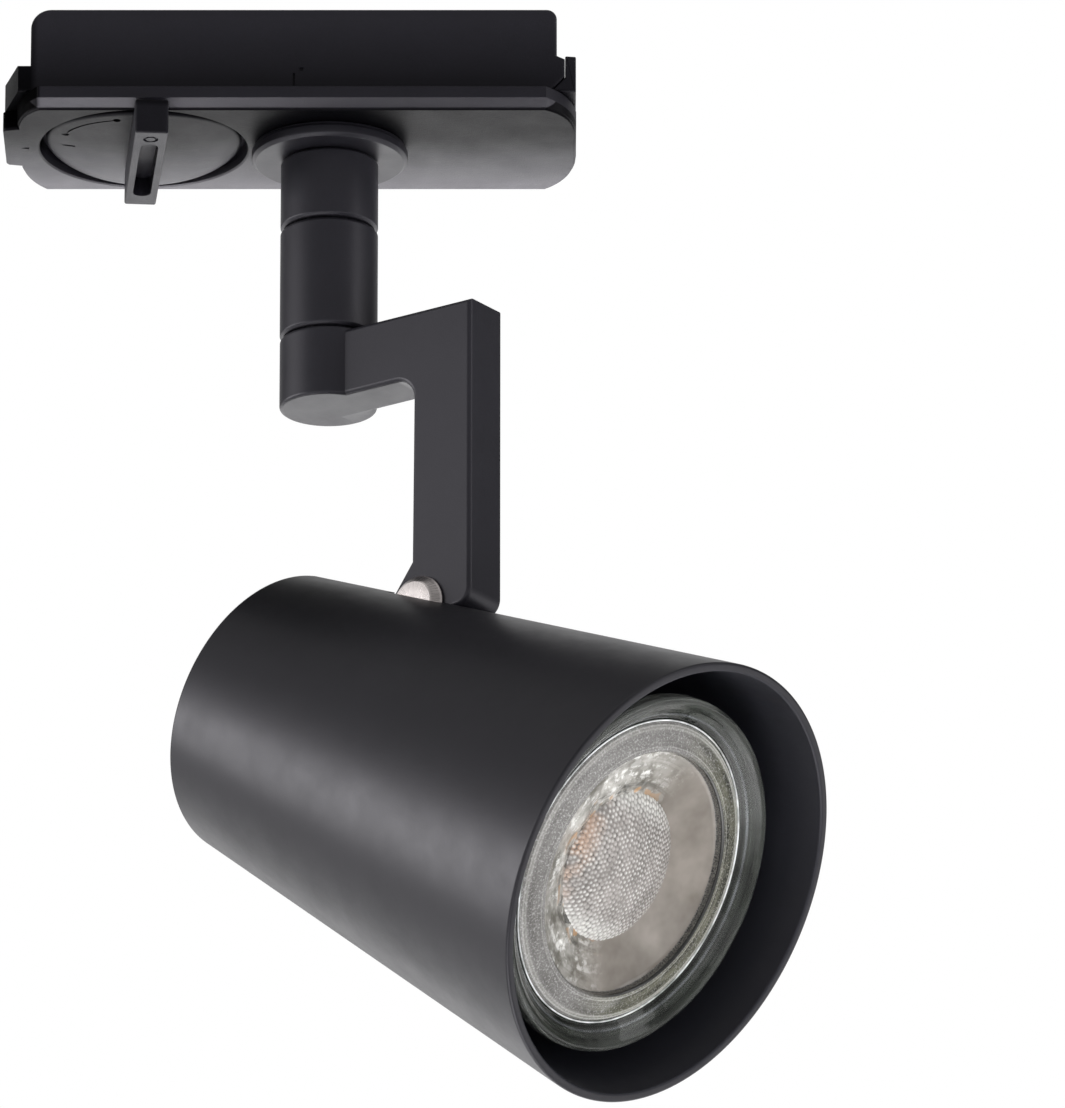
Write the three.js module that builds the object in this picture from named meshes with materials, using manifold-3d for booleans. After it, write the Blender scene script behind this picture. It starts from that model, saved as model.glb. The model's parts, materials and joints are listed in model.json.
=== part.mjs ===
// Track spotlight: a plug-in track adapter with a locking dial, a short swivelling stem,
// a cranked arm and a conical head that takes a 50 mm twist-lock reflector lamp.
// Millimetres, +Z up. Origin: centre of the stem on the adapter's top face.
// The adapter is long in X. The arm leaves the stem towards +X and -Y, the head points down.

import * as THREE from 'three';
import { mergeVertices } from 'three/addons/utils/BufferGeometryUtils.js';
import Module from 'manifold-3d';

const wasm = await Module();
wasm.setup();

// ---------------------------------------------------------------- driving dimensions

const FIT = 0.3; // clearance between pieces that rest on each other

// Adapter
const BOX_LEFT = -41.4;
const BOX_FOOT = -45.2;
const BOX_RIGHT = 31.7;
const BOX_HALF_WIDTH = 13;
const BOX_FLOOR = -12.35;
const COVER_TOP = -12.65;
const COVER_FACE = -15.65;
const COVER_LEFT = -43.4;
const COVER_TONGUE = -45.4;
const COVER_RIGHT = 34.4;
const COVER_HALF_WIDTH = 15.9;

// Locking dial
const DIAL_X = -26;
const DIAL_Y = 0.4;
const DIAL_HOLE_R = 14.55;
const DIAL_R = 13.65;
const DIAL_RECESS = -13.05;
const LEVER_LONG = 19.6;
const LEVER_SHORT = 7.9;
const LEVER_WIDTH = 4.6;
const LEVER_BOTTOM = -20.9;
const LEVER_ANGLE = THREE.MathUtils.degToRad(5.2);
const SPINDLE_R = 4;
const BLADE_REACH = 14;
const BLADE_LIVE_Z = -4.6;
const BLADE_NEUTRAL_Z = -8.4;

// Stem
const FLANGE_R = 10.9;
const FLANGE_FACE = -17.9;
const STEM_R = 6.8;
const SEAM_UPPER = -28.3;
const STUD_R = 4;
const STUD_BORE_R = 2.6;

// Bracket, from the centre of the knuckle's lower face
const BRACKET_Z = -54.7;
const BRACKET_YAW = THREE.MathUtils.degToRad(-35);
const KNUCKLE_R = 6.77;
const KNUCKLE_HEIGHT = 10.1;
const KNUCKLE_FLOOR = 2;
const ARM_REAR = 17.15;
const ARM_FRONT = 26.8;
const ARM_TOP = 9.65;
const ARM_THICK = 7.64;
const ARM_EDGE = 0.6;
const PIVOT_X = 18.3;
const PIVOT_Z = -33.6;
const FOOT_R = 4.6;
const FORK_HALF_GAP = 1.7;
const SCREW_R = 2;

// Head, about its own axis: +Z to the mouth, the pivot on the -X side
const HEAD_DROP = THREE.MathUtils.degToRad(29.3);
const HEAD_LENGTH = 75.5;
const HEAD_REAR_R = 20.05;
const HEAD_FRONT_R = 31;
const HEAD_WALL = 1.3;
const PIVOT_OFF_AXIS = 21.35;
const PIVOT_FROM_REAR = 19.2;
const SLOT_WIDTH = 8.3;
const SLOT_FRONT = 9.2;

// Lamp
const LAMP_R = 25;
const LAMP_FACE = 70.4;
const LAMP_DROP = 0.65; // the lamp and its holder sit this far below the head's axis
const LENS_R = 20.9;
const DOME_R = 10.2;
const LAMP_END = 22.8;
const PIN_SPACING = 10;

// ---------------------------------------------------------------- materials

function finish(color, roughness, metalness = 0) {
  return () => new THREE.MeshStandardMaterial({ color, roughness, metalness });
}

const blackPlastic = finish(0x1b1b20, 0.5);
const satinBlack = finish(0x17181b, 0.42);
const charcoal = finish(0x2b2b2f, 0.45);
const silver = finish(0xd2c7c2, 0.3, 1);
const steel = finish(0x9a9da1, 0.4, 1);
const brass = finish(0xb89a4e, 0.35, 1);
const copper = finish(0xb56d45, 0.35, 1);
const paleInsulator = finish(0xd9d6cc, 0.6);
const glass = finish(0xdfe6e0, 0.08);
const board = finish(0xe9e9e4, 0.6);
const phosphor = finish(0xe3b93c, 0.5);

// ---------------------------------------------------------------- geometry helpers

// Merges shared corners, drops empty triangles and turns the faces outwards.
function weld(geometry) {
  const bare = geometry.clone();
  bare.deleteAttribute('normal');
  bare.deleteAttribute('uv');
  const merged = mergeVertices(bare, 1e-4);
  const corners = merged.getAttribute('position');
  const a = new THREE.Vector3();
  const b = new THREE.Vector3();
  const c = new THREE.Vector3();
  const kept = [];
  let volume = 0;
  for (let i = 0; i < merged.index.count; i += 3) {
    const [ia, ib, ic] = [0, 1, 2].map((k) => merged.index.getX(i + k));
    if (ia === ib || ib === ic || ia === ic) {
      continue;
    }
    kept.push([ia, ib, ic]);
    a.fromBufferAttribute(corners, ia);
    b.fromBufferAttribute(corners, ib);
    c.fromBufferAttribute(corners, ic);
    volume += a.dot(b.cross(c));
  }
  const faces = volume > 0 ? kept : kept.map(([p, q, r]) => [p, r, q]);
  merged.setIndex(faces.flat());
  return merged;
}

function toManifold(geometry) {
  const welded = weld(geometry);
  const mesh = new wasm.Mesh({
    numProp: 3,
    vertProperties: new Float32Array(welded.getAttribute('position').array),
    triVerts: new Uint32Array(welded.index.array),
  });
  return new wasm.Manifold(mesh);
}

function toGeometry(manifold) {
  const mesh = manifold.getMesh();
  const geometry = new THREE.BufferGeometry();
  geometry.setAttribute('position', new THREE.BufferAttribute(mesh.vertProperties, 3));
  geometry.setIndex(new THREE.BufferAttribute(mesh.triVerts, 1));
  return geometry;
}

// The first shape joined with `add` and then cut by `cut`.
function carve(base, { add = [], cut = [] }) {
  let body = toManifold(base);
  for (const extra of add) {
    body = body.add(toManifold(extra));
  }
  for (const tool of cut) {
    body = body.subtract(toManifold(tool));
  }
  return toGeometry(body);
}

// A solid of revolution about Z from [radius, height] pairs.
function lathe(profile, segments = 40) {
  const points = profile.map(([r, z]) => new THREE.Vector2(r, z));
  return new THREE.LatheGeometry(points, segments).rotateX(Math.PI / 2);
}

// A ring or tube about Z.
function tube(outer, inner, low, high, segments = 40) {
  const profile = [
    [inner, low],
    [outer, low],
    [outer, high],
    [inner, high],
    [inner, low],
  ];
  return lathe(profile, segments);
}

// A plain cylinder about Z.
function rod(radius, low, high, segments = 28) {
  const cylinder = new THREE.CylinderGeometry(radius, radius, high - low, segments);
  return cylinder.rotateX(Math.PI / 2).translate(0, 0, (low + high) / 2);
}

function box(x0, x1, y0, y1, z0, z1) {
  const brick = new THREE.BoxGeometry(x1 - x0, y1 - y0, z1 - z0);
  return brick.translate((x0 + x1) / 2, (y0 + y1) / 2, (z0 + z1) / 2);
}

// A shape in XY pulled up along Z, with its end edges eased by `edge`.
function slab(shape, low, high, edge = 0, { edgeHeight = edge, steps = 1, curve = 8 } = {}) {
  const eased = edge > 0;
  const geometry = new THREE.ExtrudeGeometry(shape, {
    depth: high - low - (eased ? 2 * edgeHeight : 0),
    bevelEnabled: eased,
    bevelThickness: edgeHeight,
    bevelSize: edge,
    bevelOffset: -edge,
    bevelSegments: steps,
    curveSegments: curve,
  });
  return geometry.translate(0, 0, low + (eased ? edgeHeight : 0));
}

function polygon(points) {
  return new THREE.Shape(points.map(([x, y]) => new THREE.Vector2(x, y)));
}

// A rounded slot outline from x0 to x1.
function stadium(x0, x1, width) {
  const r = width / 2;
  const shape = new THREE.Shape();
  shape.moveTo(x0 + r, -r);
  shape.lineTo(x1 - r, -r);
  shape.absarc(x1 - r, 0, r, -Math.PI / 2, Math.PI / 2, false);
  shape.lineTo(x0 + r, r);
  shape.absarc(x0 + r, 0, r, Math.PI / 2, 1.5 * Math.PI, false);
  return shape;
}

// Turns a shape drawn in XZ and pulled along Z so that it stands, pulled along Y.
function standing(geometry) {
  return geometry.rotateX(Math.PI / 2);
}

function piece(name, geometry, material) {
  const mesh = new THREE.Mesh(weld(geometry), material());
  mesh.name = name;
  return mesh;
}

// ---------------------------------------------------------------- adapter

function adapterBody() {
  const side = new THREE.Shape();
  side.moveTo(BOX_LEFT + 1, BOX_FLOOR);
  side.lineTo(30.7, BOX_FLOOR);
  side.lineTo(32.8, -10.1);
  side.lineTo(32.8, -7.4);
  side.lineTo(BOX_RIGHT, -6.9);
  side.lineTo(BOX_RIGHT, -1.4);
  side.absarc(BOX_RIGHT - 1.4, -1.4, 1.4, 0, Math.PI / 2, false);
  side.lineTo(BOX_LEFT + 2.8, 0);
  side.absarc(BOX_LEFT + 2.8, -2.8, 2.8, Math.PI / 2, Math.PI, false);
  side.lineTo(BOX_LEFT, -8.4);
  side.lineTo(BOX_FOOT, -8.4);
  side.lineTo(BOX_FOOT, BOX_FLOOR);
  const half = BOX_HALF_WIDTH;
  const housing = standing(slab(side, -half, half, 0.4, { curve: 6 }));

  const cavity = box(-40.6, 29.4, -half + 1.4, half - 1.4, BOX_FLOOR - 1, -1.5);
  const dialWindow = (z) =>
    box(DIAL_X - 10.6, DIAL_X + 2, half - 2, half + 1, z - 0.75, z + 0.75);
  const latchSeam = box(-4.95, -4.65, -half - 1, -half + 0.45, BOX_FLOOR - 1, -9.6);
  const latchDot = box(-4, -3.5, -half - 1, -half + 0.3, -9.2, -8.8);
  const corners = [-1, 1].map((side) =>
    slab(polygon([[-42.9, side * 13.7], [-46, side * 13.7], [-46, side * 2.4]]), -14, -7));
  return carve(housing, {
    cut: [
      cavity, dialWindow(BLADE_LIVE_Z), dialWindow(BLADE_NEUTRAL_Z), latchSeam, latchDot, ...corners,
    ],
  });
}

function adapterEndPiece() {
  const side = polygon([
    [31.2, BOX_FLOOR],
    [34.3, BOX_FLOOR],
    [34.3, -7.05],
    [33.1, -6.95],
    [33.1, -10.2],
  ]);
  return standing(slab(side, -12.1, 12.1, 0.25));
}

function adapterCover() {
  const w = COVER_HALF_WIDTH;
  const outline = new THREE.Shape();
  outline.moveTo(-40.2, -w);
  outline.lineTo(30.2, -w);
  outline.quadraticCurveTo(33.8, -12.4, COVER_RIGHT, -6.4);
  outline.lineTo(COVER_RIGHT, 6.4);
  outline.quadraticCurveTo(33.8, 12.4, 30.2, w);
  outline.lineTo(-40.2, w);
  outline.quadraticCurveTo(-42.8, 12.8, COVER_LEFT, 8);
  outline.lineTo(COVER_LEFT, 6.9);
  outline.lineTo(COVER_TONGUE + 0.3, 6.5);
  outline.lineTo(COVER_TONGUE, 6);
  outline.lineTo(COVER_TONGUE, -6);
  outline.lineTo(COVER_TONGUE + 0.3, -6.5);
  outline.lineTo(COVER_LEFT, -6.9);
  outline.lineTo(COVER_LEFT, -8);
  outline.quadraticCurveTo(-42.8, -12.8, -40.2, -w);
  const plate = slab(outline, COVER_FACE, COVER_TOP + 1.3, 0.4, { edgeHeight: 1.3 });
  const aboveCover = box(-60, 60, -30, 30, COVER_TOP, 0);
  const dialHole = lathe([
    [0, COVER_FACE - 1],
    [DIAL_HOLE_R, COVER_FACE - 1],
    [DIAL_HOLE_R, DIAL_RECESS],
    [SPINDLE_R + FIT, DIAL_RECESS],
    [SPINDLE_R + FIT, COVER_TOP + 1],
    [0, COVER_TOP + 1],
  ], 56).translate(DIAL_X, DIAL_Y, 0);
  const stemHole = rod(STUD_R + FIT, COVER_FACE - 1, COVER_TOP + 1, 40);
  const indexMark = slab(polygon([[-43.2, 0], [-42, -0.35], [-42, 0.35]]), COVER_FACE - 1, -15.45);
  return carve(plate, { cut: [aboveCover, dialHole, stemHole, indexMark] });
}

function dialBearing() {
  const top = -10.9;
  const strip = box(-39.5, -12.5, -10.6, 10.6, top - 1, top);
  const bore = rod(SPINDLE_R + 0.08, top - 2, top + 1, 40).translate(DIAL_X, DIAL_Y, 0);
  return carve(strip, { cut: [bore] });
}

function terminalBlock() {
  const block = box(13, 27, -7, 7, -11.9, -3);
  const entries = [-3.4, 3.4].map((y) => box(10, 20, y - 1.6, y + 1.6, -10, -6.8));
  const sockets = [-3.4, 3.4].map((y) => rod(1.9, -5.9, -2, 24).translate(22, y, 0));
  return carve(block, { cut: [...entries, ...sockets] });
}

function terminalScrew() {
  const slot = box(-3, 3, -0.3, 0.3, -3.8, -3);
  return carve(rod(1.6, -5.6, -3.4, 24), { cut: [slot] });
}

// ---------------------------------------------------------------- locking dial

// Drawn about the dial's own axis, with the lever's long end towards -Y.
function lockDial() {
  const disc = lathe([
    [0, -15.85],
    [4.5, -15.8],
    [8.5, -15.66],
    [11.5, -15.42],
    [DIAL_R - 0.15, -15.2],
    [DIAL_R, -15.05],
    [DIAL_R, DIAL_RECESS - FIT],
    [SPINDLE_R, DIAL_RECESS - FIT],
    [SPINDLE_R, -2.4],
    [0, -2.4],
  ], 56);
  const half = LEVER_WIDTH / 2;
  const handle = polygon([
    [-half, -LEVER_LONG],
    [half, -LEVER_LONG],
    [half - 0.1, LEVER_SHORT],
    [-half + 0.1, LEVER_SHORT],
  ]);
  const lever = slab(handle, LEVER_BOTTOM, COVER_FACE - FIT, 0.25).rotateZ(LEVER_ANGLE);
  const root = box(-half + 0.3, half - 0.3, -12.4, LEVER_SHORT - 0.3, -16.2, -14.6);
  const pocket = slab(stadium(-15, 4.5, 2.5), LEVER_BOTTOM - 1, LEVER_BOTTOM + 2.7);
  pocket.rotateZ(Math.PI / 2 + LEVER_ANGLE);
  const ring = tube(1.05, 0.65, LEVER_BOTTOM - 1, LEVER_BOTTOM + 0.25, 20);
  ring.translate(0, -16.9, 0).rotateZ(LEVER_ANGLE);
  const bar = box(-11.9, -9.6, -0.25, 0.25, -17, -15.2);
  const scale = new THREE.Shape();
  const from = THREE.MathUtils.degToRad(-159);
  const to = THREE.MathUtils.degToRad(-107);
  scale.absarc(0, 0, 11.72, from, to, false);
  scale.absarc(0, 0, 11.48, to, from, true);
  const arc = slab(scale, -17, -15.15, 0, { curve: 10 });
  const dots = [from, to].map((angle) =>
    rod(0.42, -17, -15.1, 12).translate(11.6 * Math.cos(angle), 11.6 * Math.sin(angle), 0));
  return carve(disc, { add: [lever, root.rotateZ(LEVER_ANGLE)], cut: [pocket, ring, bar, arc, ...dots] });
}

// At rest the blades lie along the housing; a quarter turn swings them out at +Y.
const BLADE_REST = Math.PI + LEVER_ANGLE;

function bladeShape(z, clearance) {
  const w = 1.3 + clearance;
  return box(5.5 - clearance, BLADE_REACH, -w, w, z - 0.4 - clearance, z + 0.4 + clearance);
}

function contactCarrier() {
  const collar = tube(7.6, SPINDLE_R + 0.1, -10.5, -2.7, 32);
  const pockets = [BLADE_LIVE_Z, BLADE_NEUTRAL_Z].map((z) => bladeShape(z, 0.1).rotateZ(BLADE_REST));
  return carve(collar, { cut: pockets });
}

function contactBlade(z) {
  return bladeShape(z, 0).rotateZ(BLADE_REST);
}

// ---------------------------------------------------------------- stem

function stemFlange() {
  return lathe([
    [STUD_R + FIT, FLANGE_FACE + 0.1],
    [FLANGE_R - 0.7, FLANGE_FACE],
    [FLANGE_R, FLANGE_FACE + 0.6],
    [FLANGE_R, COVER_FACE - 0.7],
    [FLANGE_R - 0.35, COVER_FACE - 0.5],
    [FLANGE_R - 0.35, COVER_FACE - 0.1],
    [STUD_R + FIT, COVER_FACE - 0.1],
    [STUD_R + FIT, FLANGE_FACE + 0.1],
  ], 48);
}

function stemTube(low, high, edge) {
  return lathe([
    [STUD_R + 0.4, low],
    [STEM_R - edge, low],
    [STEM_R, low + edge],
    [STEM_R, high - edge],
    [STEM_R - edge, high],
    [STUD_R + 0.4, high],
    [STUD_R + 0.4, low],
  ], 44);
}

const STUD_HEAD = BRACKET_Z + 5.5;

function stemStud() {
  const stud = lathe([
    [STUD_BORE_R, STUD_HEAD - 2.4],
    [5.1, STUD_HEAD - 2.4],
    [5.1, STUD_HEAD],
    [STUD_R, STUD_HEAD],
    [STUD_R, -8],
    [STUD_BORE_R, -8],
    [STUD_BORE_R, STUD_HEAD - 2.4],
  ], 32);
  // Opposite the pin, which stands on the arm's side of the bracket at rest.
  const stopLug = box(-4.9, -2.8, -0.6, 0.6, STUD_HEAD - 3, STUD_HEAD - 2.2).rotateZ(BRACKET_YAW);
  return carve(stud, { add: [stopLug] });
}

function hexNut(acrossCorners, bore, low, high) {
  const hexagon = rod(acrossCorners / 2, low, high, 6);
  return carve(hexagon, { cut: [rod(bore, low - 1, high + 1, 24)] });
}

// ---------------------------------------------------------------- bracket

// Side view of web, arm and foot: x away from the stem, y up.
function armOutline() {
  const fillet = 3;
  const cornerR = 2.6;
  const footBottom = PIVOT_Z - 1.2;
  const shape = new THREE.Shape();
  shape.moveTo(0, 0);
  shape.lineTo(ARM_REAR - fillet, 0);
  shape.absarc(ARM_REAR - fillet, -fillet, fillet, Math.PI / 2, 0, true);
  shape.lineTo(ARM_REAR, PIVOT_Z + 6.4);
  const flareEnd = Math.PI - 0.66;
  const bossEnd = 2 * Math.PI - Math.asin(1.2 / FOOT_R);
  shape.absarc(PIVOT_X, PIVOT_Z, FOOT_R, flareEnd, bossEnd, false);
  shape.lineTo(ARM_FRONT - cornerR, footBottom);
  shape.absarc(ARM_FRONT - cornerR, footBottom + cornerR, cornerR, -Math.PI / 2, 0, false);
  shape.lineTo(ARM_FRONT, ARM_TOP);
  shape.lineTo(0, ARM_TOP);
  return shape;
}

function swingArm() {
  const half = ARM_THICK / 2;
  const bar = standing(slab(armOutline(), -half, half, ARM_EDGE, { curve: 6 }));
  const knuckle = lathe([
    [0, 0],
    [KNUCKLE_R - 0.5, 0],
    [KNUCKLE_R - 0.15, 0.15],
    [KNUCKLE_R, 0.5],
    [KNUCKLE_R, KNUCKLE_HEIGHT - 0.4],
    [KNUCKLE_R - 0.4, KNUCKLE_HEIGHT],
    [0, KNUCKLE_HEIGHT],
  ], 44);
  const socket = lathe([
    [0, KNUCKLE_FLOOR],
    [5.3, KNUCKLE_FLOOR],
    [5.3, 6.2],
    [5.8, 6.2],
    [5.8, 7.8],
    [5.3, 7.8],
    [5.3, KNUCKLE_HEIGHT + 1],
    [0, KNUCKLE_HEIGHT + 1],
  ], 32);
  const stopHole = rod(0.75, 1, KNUCKLE_FLOOR + 1, 20).translate(3.9, 0, 0);
  const gap = FORK_HALF_GAP;
  const forkPocket = box(PIVOT_X - 8, PIVOT_X + 4.4, -gap, gap, PIVOT_Z - 8, PIVOT_Z + 5);
  const bore = standing(rod(SCREW_R + 0.08, -10, 10, 24)).translate(PIVOT_X, 0, PIVOT_Z);
  return carve(bar, { add: [knuckle], cut: [socket, stopHole, forkPocket, bore] });
}

// Along the pivot: the cap stands on the arm's -Y face.
function pivotScrew() {
  const seat = ARM_THICK / 2 + 0.1;
  const screw = lathe([
    [0, -7],
    [SCREW_R, -7],
    [SCREW_R, seat],
    [4.15, seat],
    [4.15, seat + 0.3],
    [3.15, seat + 1.55],
    [0, seat + 1.6],
  ], 36);
  return standing(screw);
}

function frictionWasher() {
  return standing(tube(3.6, SCREW_R + 0.1, -0.2, 0.2, 24));
}

// ---------------------------------------------------------------- head

const HEAD_SLOPE = (HEAD_FRONT_R - HEAD_REAR_R) / HEAD_LENGTH;

function headRadius(z) {
  return HEAD_REAR_R + HEAD_SLOPE * z;
}

function acrossHead(geometry) {
  return standing(geometry).translate(-PIVOT_OFF_AXIS, 0, PIVOT_FROM_REAR);
}

function headShell() {
  const end = HEAD_LENGTH;
  const wall = HEAD_WALL;
  const cone = lathe([
    [headRadius(0) - wall, 0],
    [headRadius(0) - 0.5, 0],
    [headRadius(0) - 0.1, 0.2],
    [headRadius(0.6), 0.6],
    [headRadius(end - 0.5), end - 0.5],
    [headRadius(end) - 0.15, end - 0.12],
    [headRadius(end) - 0.45, end],
    [headRadius(end) - wall + 0.25, end],
    [headRadius(end) - wall, end - 0.3],
    [headRadius(0) - wall, 0],
  ], 80);
  const half = SLOT_WIDTH / 2;
  const armSlot = box(-40, -14, -half, half, -2, PIVOT_FROM_REAR + SLOT_FRONT);
  const screwPocket = acrossHead(rod(4.65, -7.2, 5.95, 32));
  return carve(cone, { cut: [armSlot, screwPocket] });
}

function rearCap() {
  const r = headRadius(0) - HEAD_WALL - FIT;
  return lathe([
    [0, 1.3],
    [r - 2, 1.3],
    [r - 1.5, 0.9],
    [r - 0.3, 0.9],
    [r, 1.2],
    [r, 2.9],
    [0, 2.9],
  ], 44);
}

const BRIDGE_BACK = 3.3;
const BRIDGE_FRONT = 4.7;
const HOLDER_BACK = 5;

// Round plate with the hinge ear standing up from its -X edge.
function holderBridge() {
  const plate = rod(17.2, BRIDGE_BACK, BRIDGE_FRONT, 36);
  const x = (off) => -PIVOT_OFF_AXIS - off;
  const z = (along) => PIVOT_FROM_REAR + along;
  const neck = polygon([
    [x(-7.1), BRIDGE_BACK + 0.5],
    [x(-3.9), BRIDGE_BACK + 0.5],
    [x(-3.3), z(-4.7)],
    [x(0), z(0)],
    [x(-2.6), z(2.4)],
    [x(-7.1), z(-1.4)],
  ]);
  const ear = standing(slab(neck, -0.9, 0.9));
  const eye = acrossHead(rod(3.6, -0.9, 0.9, 28));
  const bore = acrossHead(rod(SCREW_R + 0.08, -3, 3, 24));
  const holes = [-1, 1].map((side) => rod(1.2, 0, 8, 16).translate(LAMP_DROP, side * 9, 0));
  return carve(plate, { add: [ear, eye], cut: [bore, ...holes] });
}

function lampholder() {
  const body = lathe([
    [0, HOLDER_BACK],
    [13.2, HOLDER_BACK],
    [13.5, HOLDER_BACK + 0.3],
    [13.5, 17],
    [12, 18.5],
    [11.6, LAMP_END - 0.5],
    [0, LAMP_END - 0.5],
  ], 32);
  const sockets = [-1, 1].map((side) => {
    const y = (side * PIN_SPACING) / 2;
    return rod(2.8, 14.5, LAMP_END + 1, 20).translate(0, y, 0);
  });
  const threads = [-1, 1].map((side) => rod(1, 0, 9.4, 16).translate(0, side * 9, 0));
  return carve(body, { cut: [...sockets, ...threads] });
}

function holderScrew() {
  return lathe([
    [0, 3],
    [0.85, 3],
    [0.85, 9],
    [0, 9],
  ], 16);
}

// ---------------------------------------------------------------- lamp

function lampCup() {
  const f = LAMP_FACE;
  return lathe([
    [11, 36],
    [12.3, 36],
    [15.9, 45],
    [20.4, 55.5],
    [24.2, f - 3.6],
    [LAMP_R, f - 2.6],
    [LAMP_R, f - 0.5],
    [LAMP_R - 0.5, f],
    [21.3, f],
    [21.3, f - 3.2],
    [22.2, f - 4.6],
    [19, 55.8],
    [14.6, 45.4],
    [11, 36],
  ], 40);
}

// Clear optic: a flange, a cone that narrows to the LEDs and a low dome in the front.
function lampLens() {
  const f = LAMP_FACE;
  return lathe([
    [0, 56.2],
    [4.6, 56.2],
    [4.6, 54.4],
    [5.4, 54.4],
    [11, 59.5],
    [15.6, f - 5.2],
    [19, f - 4.2],
    [LENS_R, f - 4],
    [LENS_R, f - 1.9],
    [17.3, f - 1],
    [17, f - 3.7],
    [DOME_R, f - 4.4],
    [8.4, f - 2.9],
    [4.6, f - 2.1],
    [0, f - 1.9],
  ], 36);
}

function lampCore() {
  return lathe([
    [0, 36],
    [9.8, 36],
    [9.8, 51.6],
    [0, 51.6],
  ], 28);
}

function lampBase() {
  const body = lathe([
    [0, LAMP_END],
    [8.9, LAMP_END],
    [9.4, LAMP_END + 0.5],
    [9.4, 30.4],
    [12.2, 31],
    [12.4, 31.4],
    [12.4, 35.4],
    [12, 35.7],
    [0, 35.7],
  ], 32);
  const seats = [-1, 1].map((side) => {
    const y = (side * PIN_SPACING) / 2;
    return rod(1.35, LAMP_END - 1, LAMP_END + 3, 16).translate(0, y, 0);
  });
  return carve(body, { cut: seats });
}

function lampPin() {
  return lathe([
    [0, 16.3],
    [2.2, 16.3],
    [2.4, 16.5],
    [2.4, 18.6],
    [1.2, 19],
    [1.2, LAMP_END + 2.7],
    [0, LAMP_END + 2.7],
  ], 16);
}

// ---------------------------------------------------------------- assembly

const spotlight = new THREE.Group();

const adapter = new THREE.Group();
adapter.add(piece('adapter_body', adapterBody(), blackPlastic));
adapter.add(piece('adapter_end_piece', adapterEndPiece(), blackPlastic));
adapter.add(piece('adapter_cover', adapterCover(), blackPlastic));
adapter.add(piece('dial_bearing', dialBearing(), steel));
adapter.add(piece('terminal_block', terminalBlock(), paleInsulator));
for (const [name, y] of [['terminal_screw_live', -3.4], ['terminal_screw_neutral', 3.4]]) {
  const screw = piece(name, terminalScrew(), brass);
  screw.position.set(22, y, 0);
  adapter.add(screw);
}
adapter.add(piece('stem_flange', stemFlange(), charcoal));
adapter.add(piece('stem_collar', stemTube(SEAM_UPPER + 0.15, FLANGE_FACE - 0.1, 0.35), charcoal));
const sleeveLow = BRACKET_Z + KNUCKLE_HEIGHT + FIT;
adapter.add(piece('stem_sleeve', stemTube(sleeveLow, SEAM_UPPER - 0.15, 0.4), charcoal));
adapter.add(piece('stem_tube', stemStud(), steel));
adapter.add(piece('stem_nut', hexNut(13, STUD_R + 0.1, -12.2, -9), steel));
spotlight.add(adapter);

const dial = new THREE.Group();
dial.position.set(DIAL_X, DIAL_Y, 0);
dial.add(piece('lock_dial', lockDial(), blackPlastic));
dial.add(piece('contact_carrier', contactCarrier(), paleInsulator));
dial.add(piece('contact_live', contactBlade(BLADE_LIVE_Z), copper));
dial.add(piece('contact_neutral', contactBlade(BLADE_NEUTRAL_Z), copper));
spotlight.add(dial);

const bracket = new THREE.Group();
bracket.position.z = BRACKET_Z;
bracket.rotation.z = BRACKET_YAW;
bracket.add(piece('swing_arm', swingArm(), charcoal));
bracket.add(piece('swivel_ring', tube(5.65, STUD_R + 0.15, 6.35, 7.65, 40), steel));
const stopPin = piece('stop_pin', rod(0.65, 1.2, KNUCKLE_FLOOR + 0.75, 20), steel);
stopPin.position.x = 3.9;
bracket.add(stopPin);

const pivot = new THREE.Group();
pivot.position.set(PIVOT_X, 0, PIVOT_Z);
pivot.add(piece('pivot_screw', pivotScrew(), silver));
const nutLow = -ARM_THICK / 2 - 2.9;
const nutHigh = -ARM_THICK / 2 - 0.1;
pivot.add(piece('pivot_nut', standing(hexNut(8, SCREW_R + 0.1, nutLow, nutHigh)), steel));
for (const [name, y] of [['friction_washer_a', -1.3], ['friction_washer_b', 1.3]]) {
  const washer = piece(name, frictionWasher(), steel);
  washer.position.y = y;
  pivot.add(washer);
}

const head = new THREE.Group();
head.rotation.y = Math.PI / 2 + HEAD_DROP;
const onAxis = new THREE.Group();
onAxis.position.set(PIVOT_OFF_AXIS, 0, -PIVOT_FROM_REAR);
onAxis.add(piece('head_shell', headShell(), satinBlack));
onAxis.add(piece('rear_cap', rearCap(), satinBlack));
onAxis.add(piece('holder_bridge', holderBridge(), steel));
const holder = piece('lampholder', lampholder(), paleInsulator);
holder.position.x = LAMP_DROP;
onAxis.add(holder);
for (const [name, y] of [['holder_screw_a', -9], ['holder_screw_b', 9]]) {
  const screw = piece(name, holderScrew(), steel);
  screw.position.set(LAMP_DROP, y, 0);
  onAxis.add(screw);
}

const lamp = new THREE.Group();
lamp.position.x = LAMP_DROP;
lamp.add(piece('lamp_cup', lampCup(), glass));
lamp.add(piece('lamp_lens', lampLens(), glass));
lamp.add(piece('lamp_core', lampCore(), paleInsulator));
lamp.add(piece('led_board', rod(8.6, 51.9, 53, 28), board));
lamp.add(piece('led_chip', rod(3.4, 53.3, 53.9, 24), phosphor));
lamp.add(piece('lamp_base', lampBase(), paleInsulator));
for (const [name, y] of [['lamp_pin_a', -PIN_SPACING / 2], ['lamp_pin_b', PIN_SPACING / 2]]) {
  const pin = piece(name, lampPin(), steel);
  pin.position.y = y;
  lamp.add(pin);
}
onAxis.add(lamp);
head.add(onAxis);
pivot.add(head);
bracket.add(pivot);
spotlight.add(bracket);

export default spotlight;
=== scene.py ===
import json
import math

import bmesh
import bpy
from mathutils import Matrix, Vector


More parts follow.
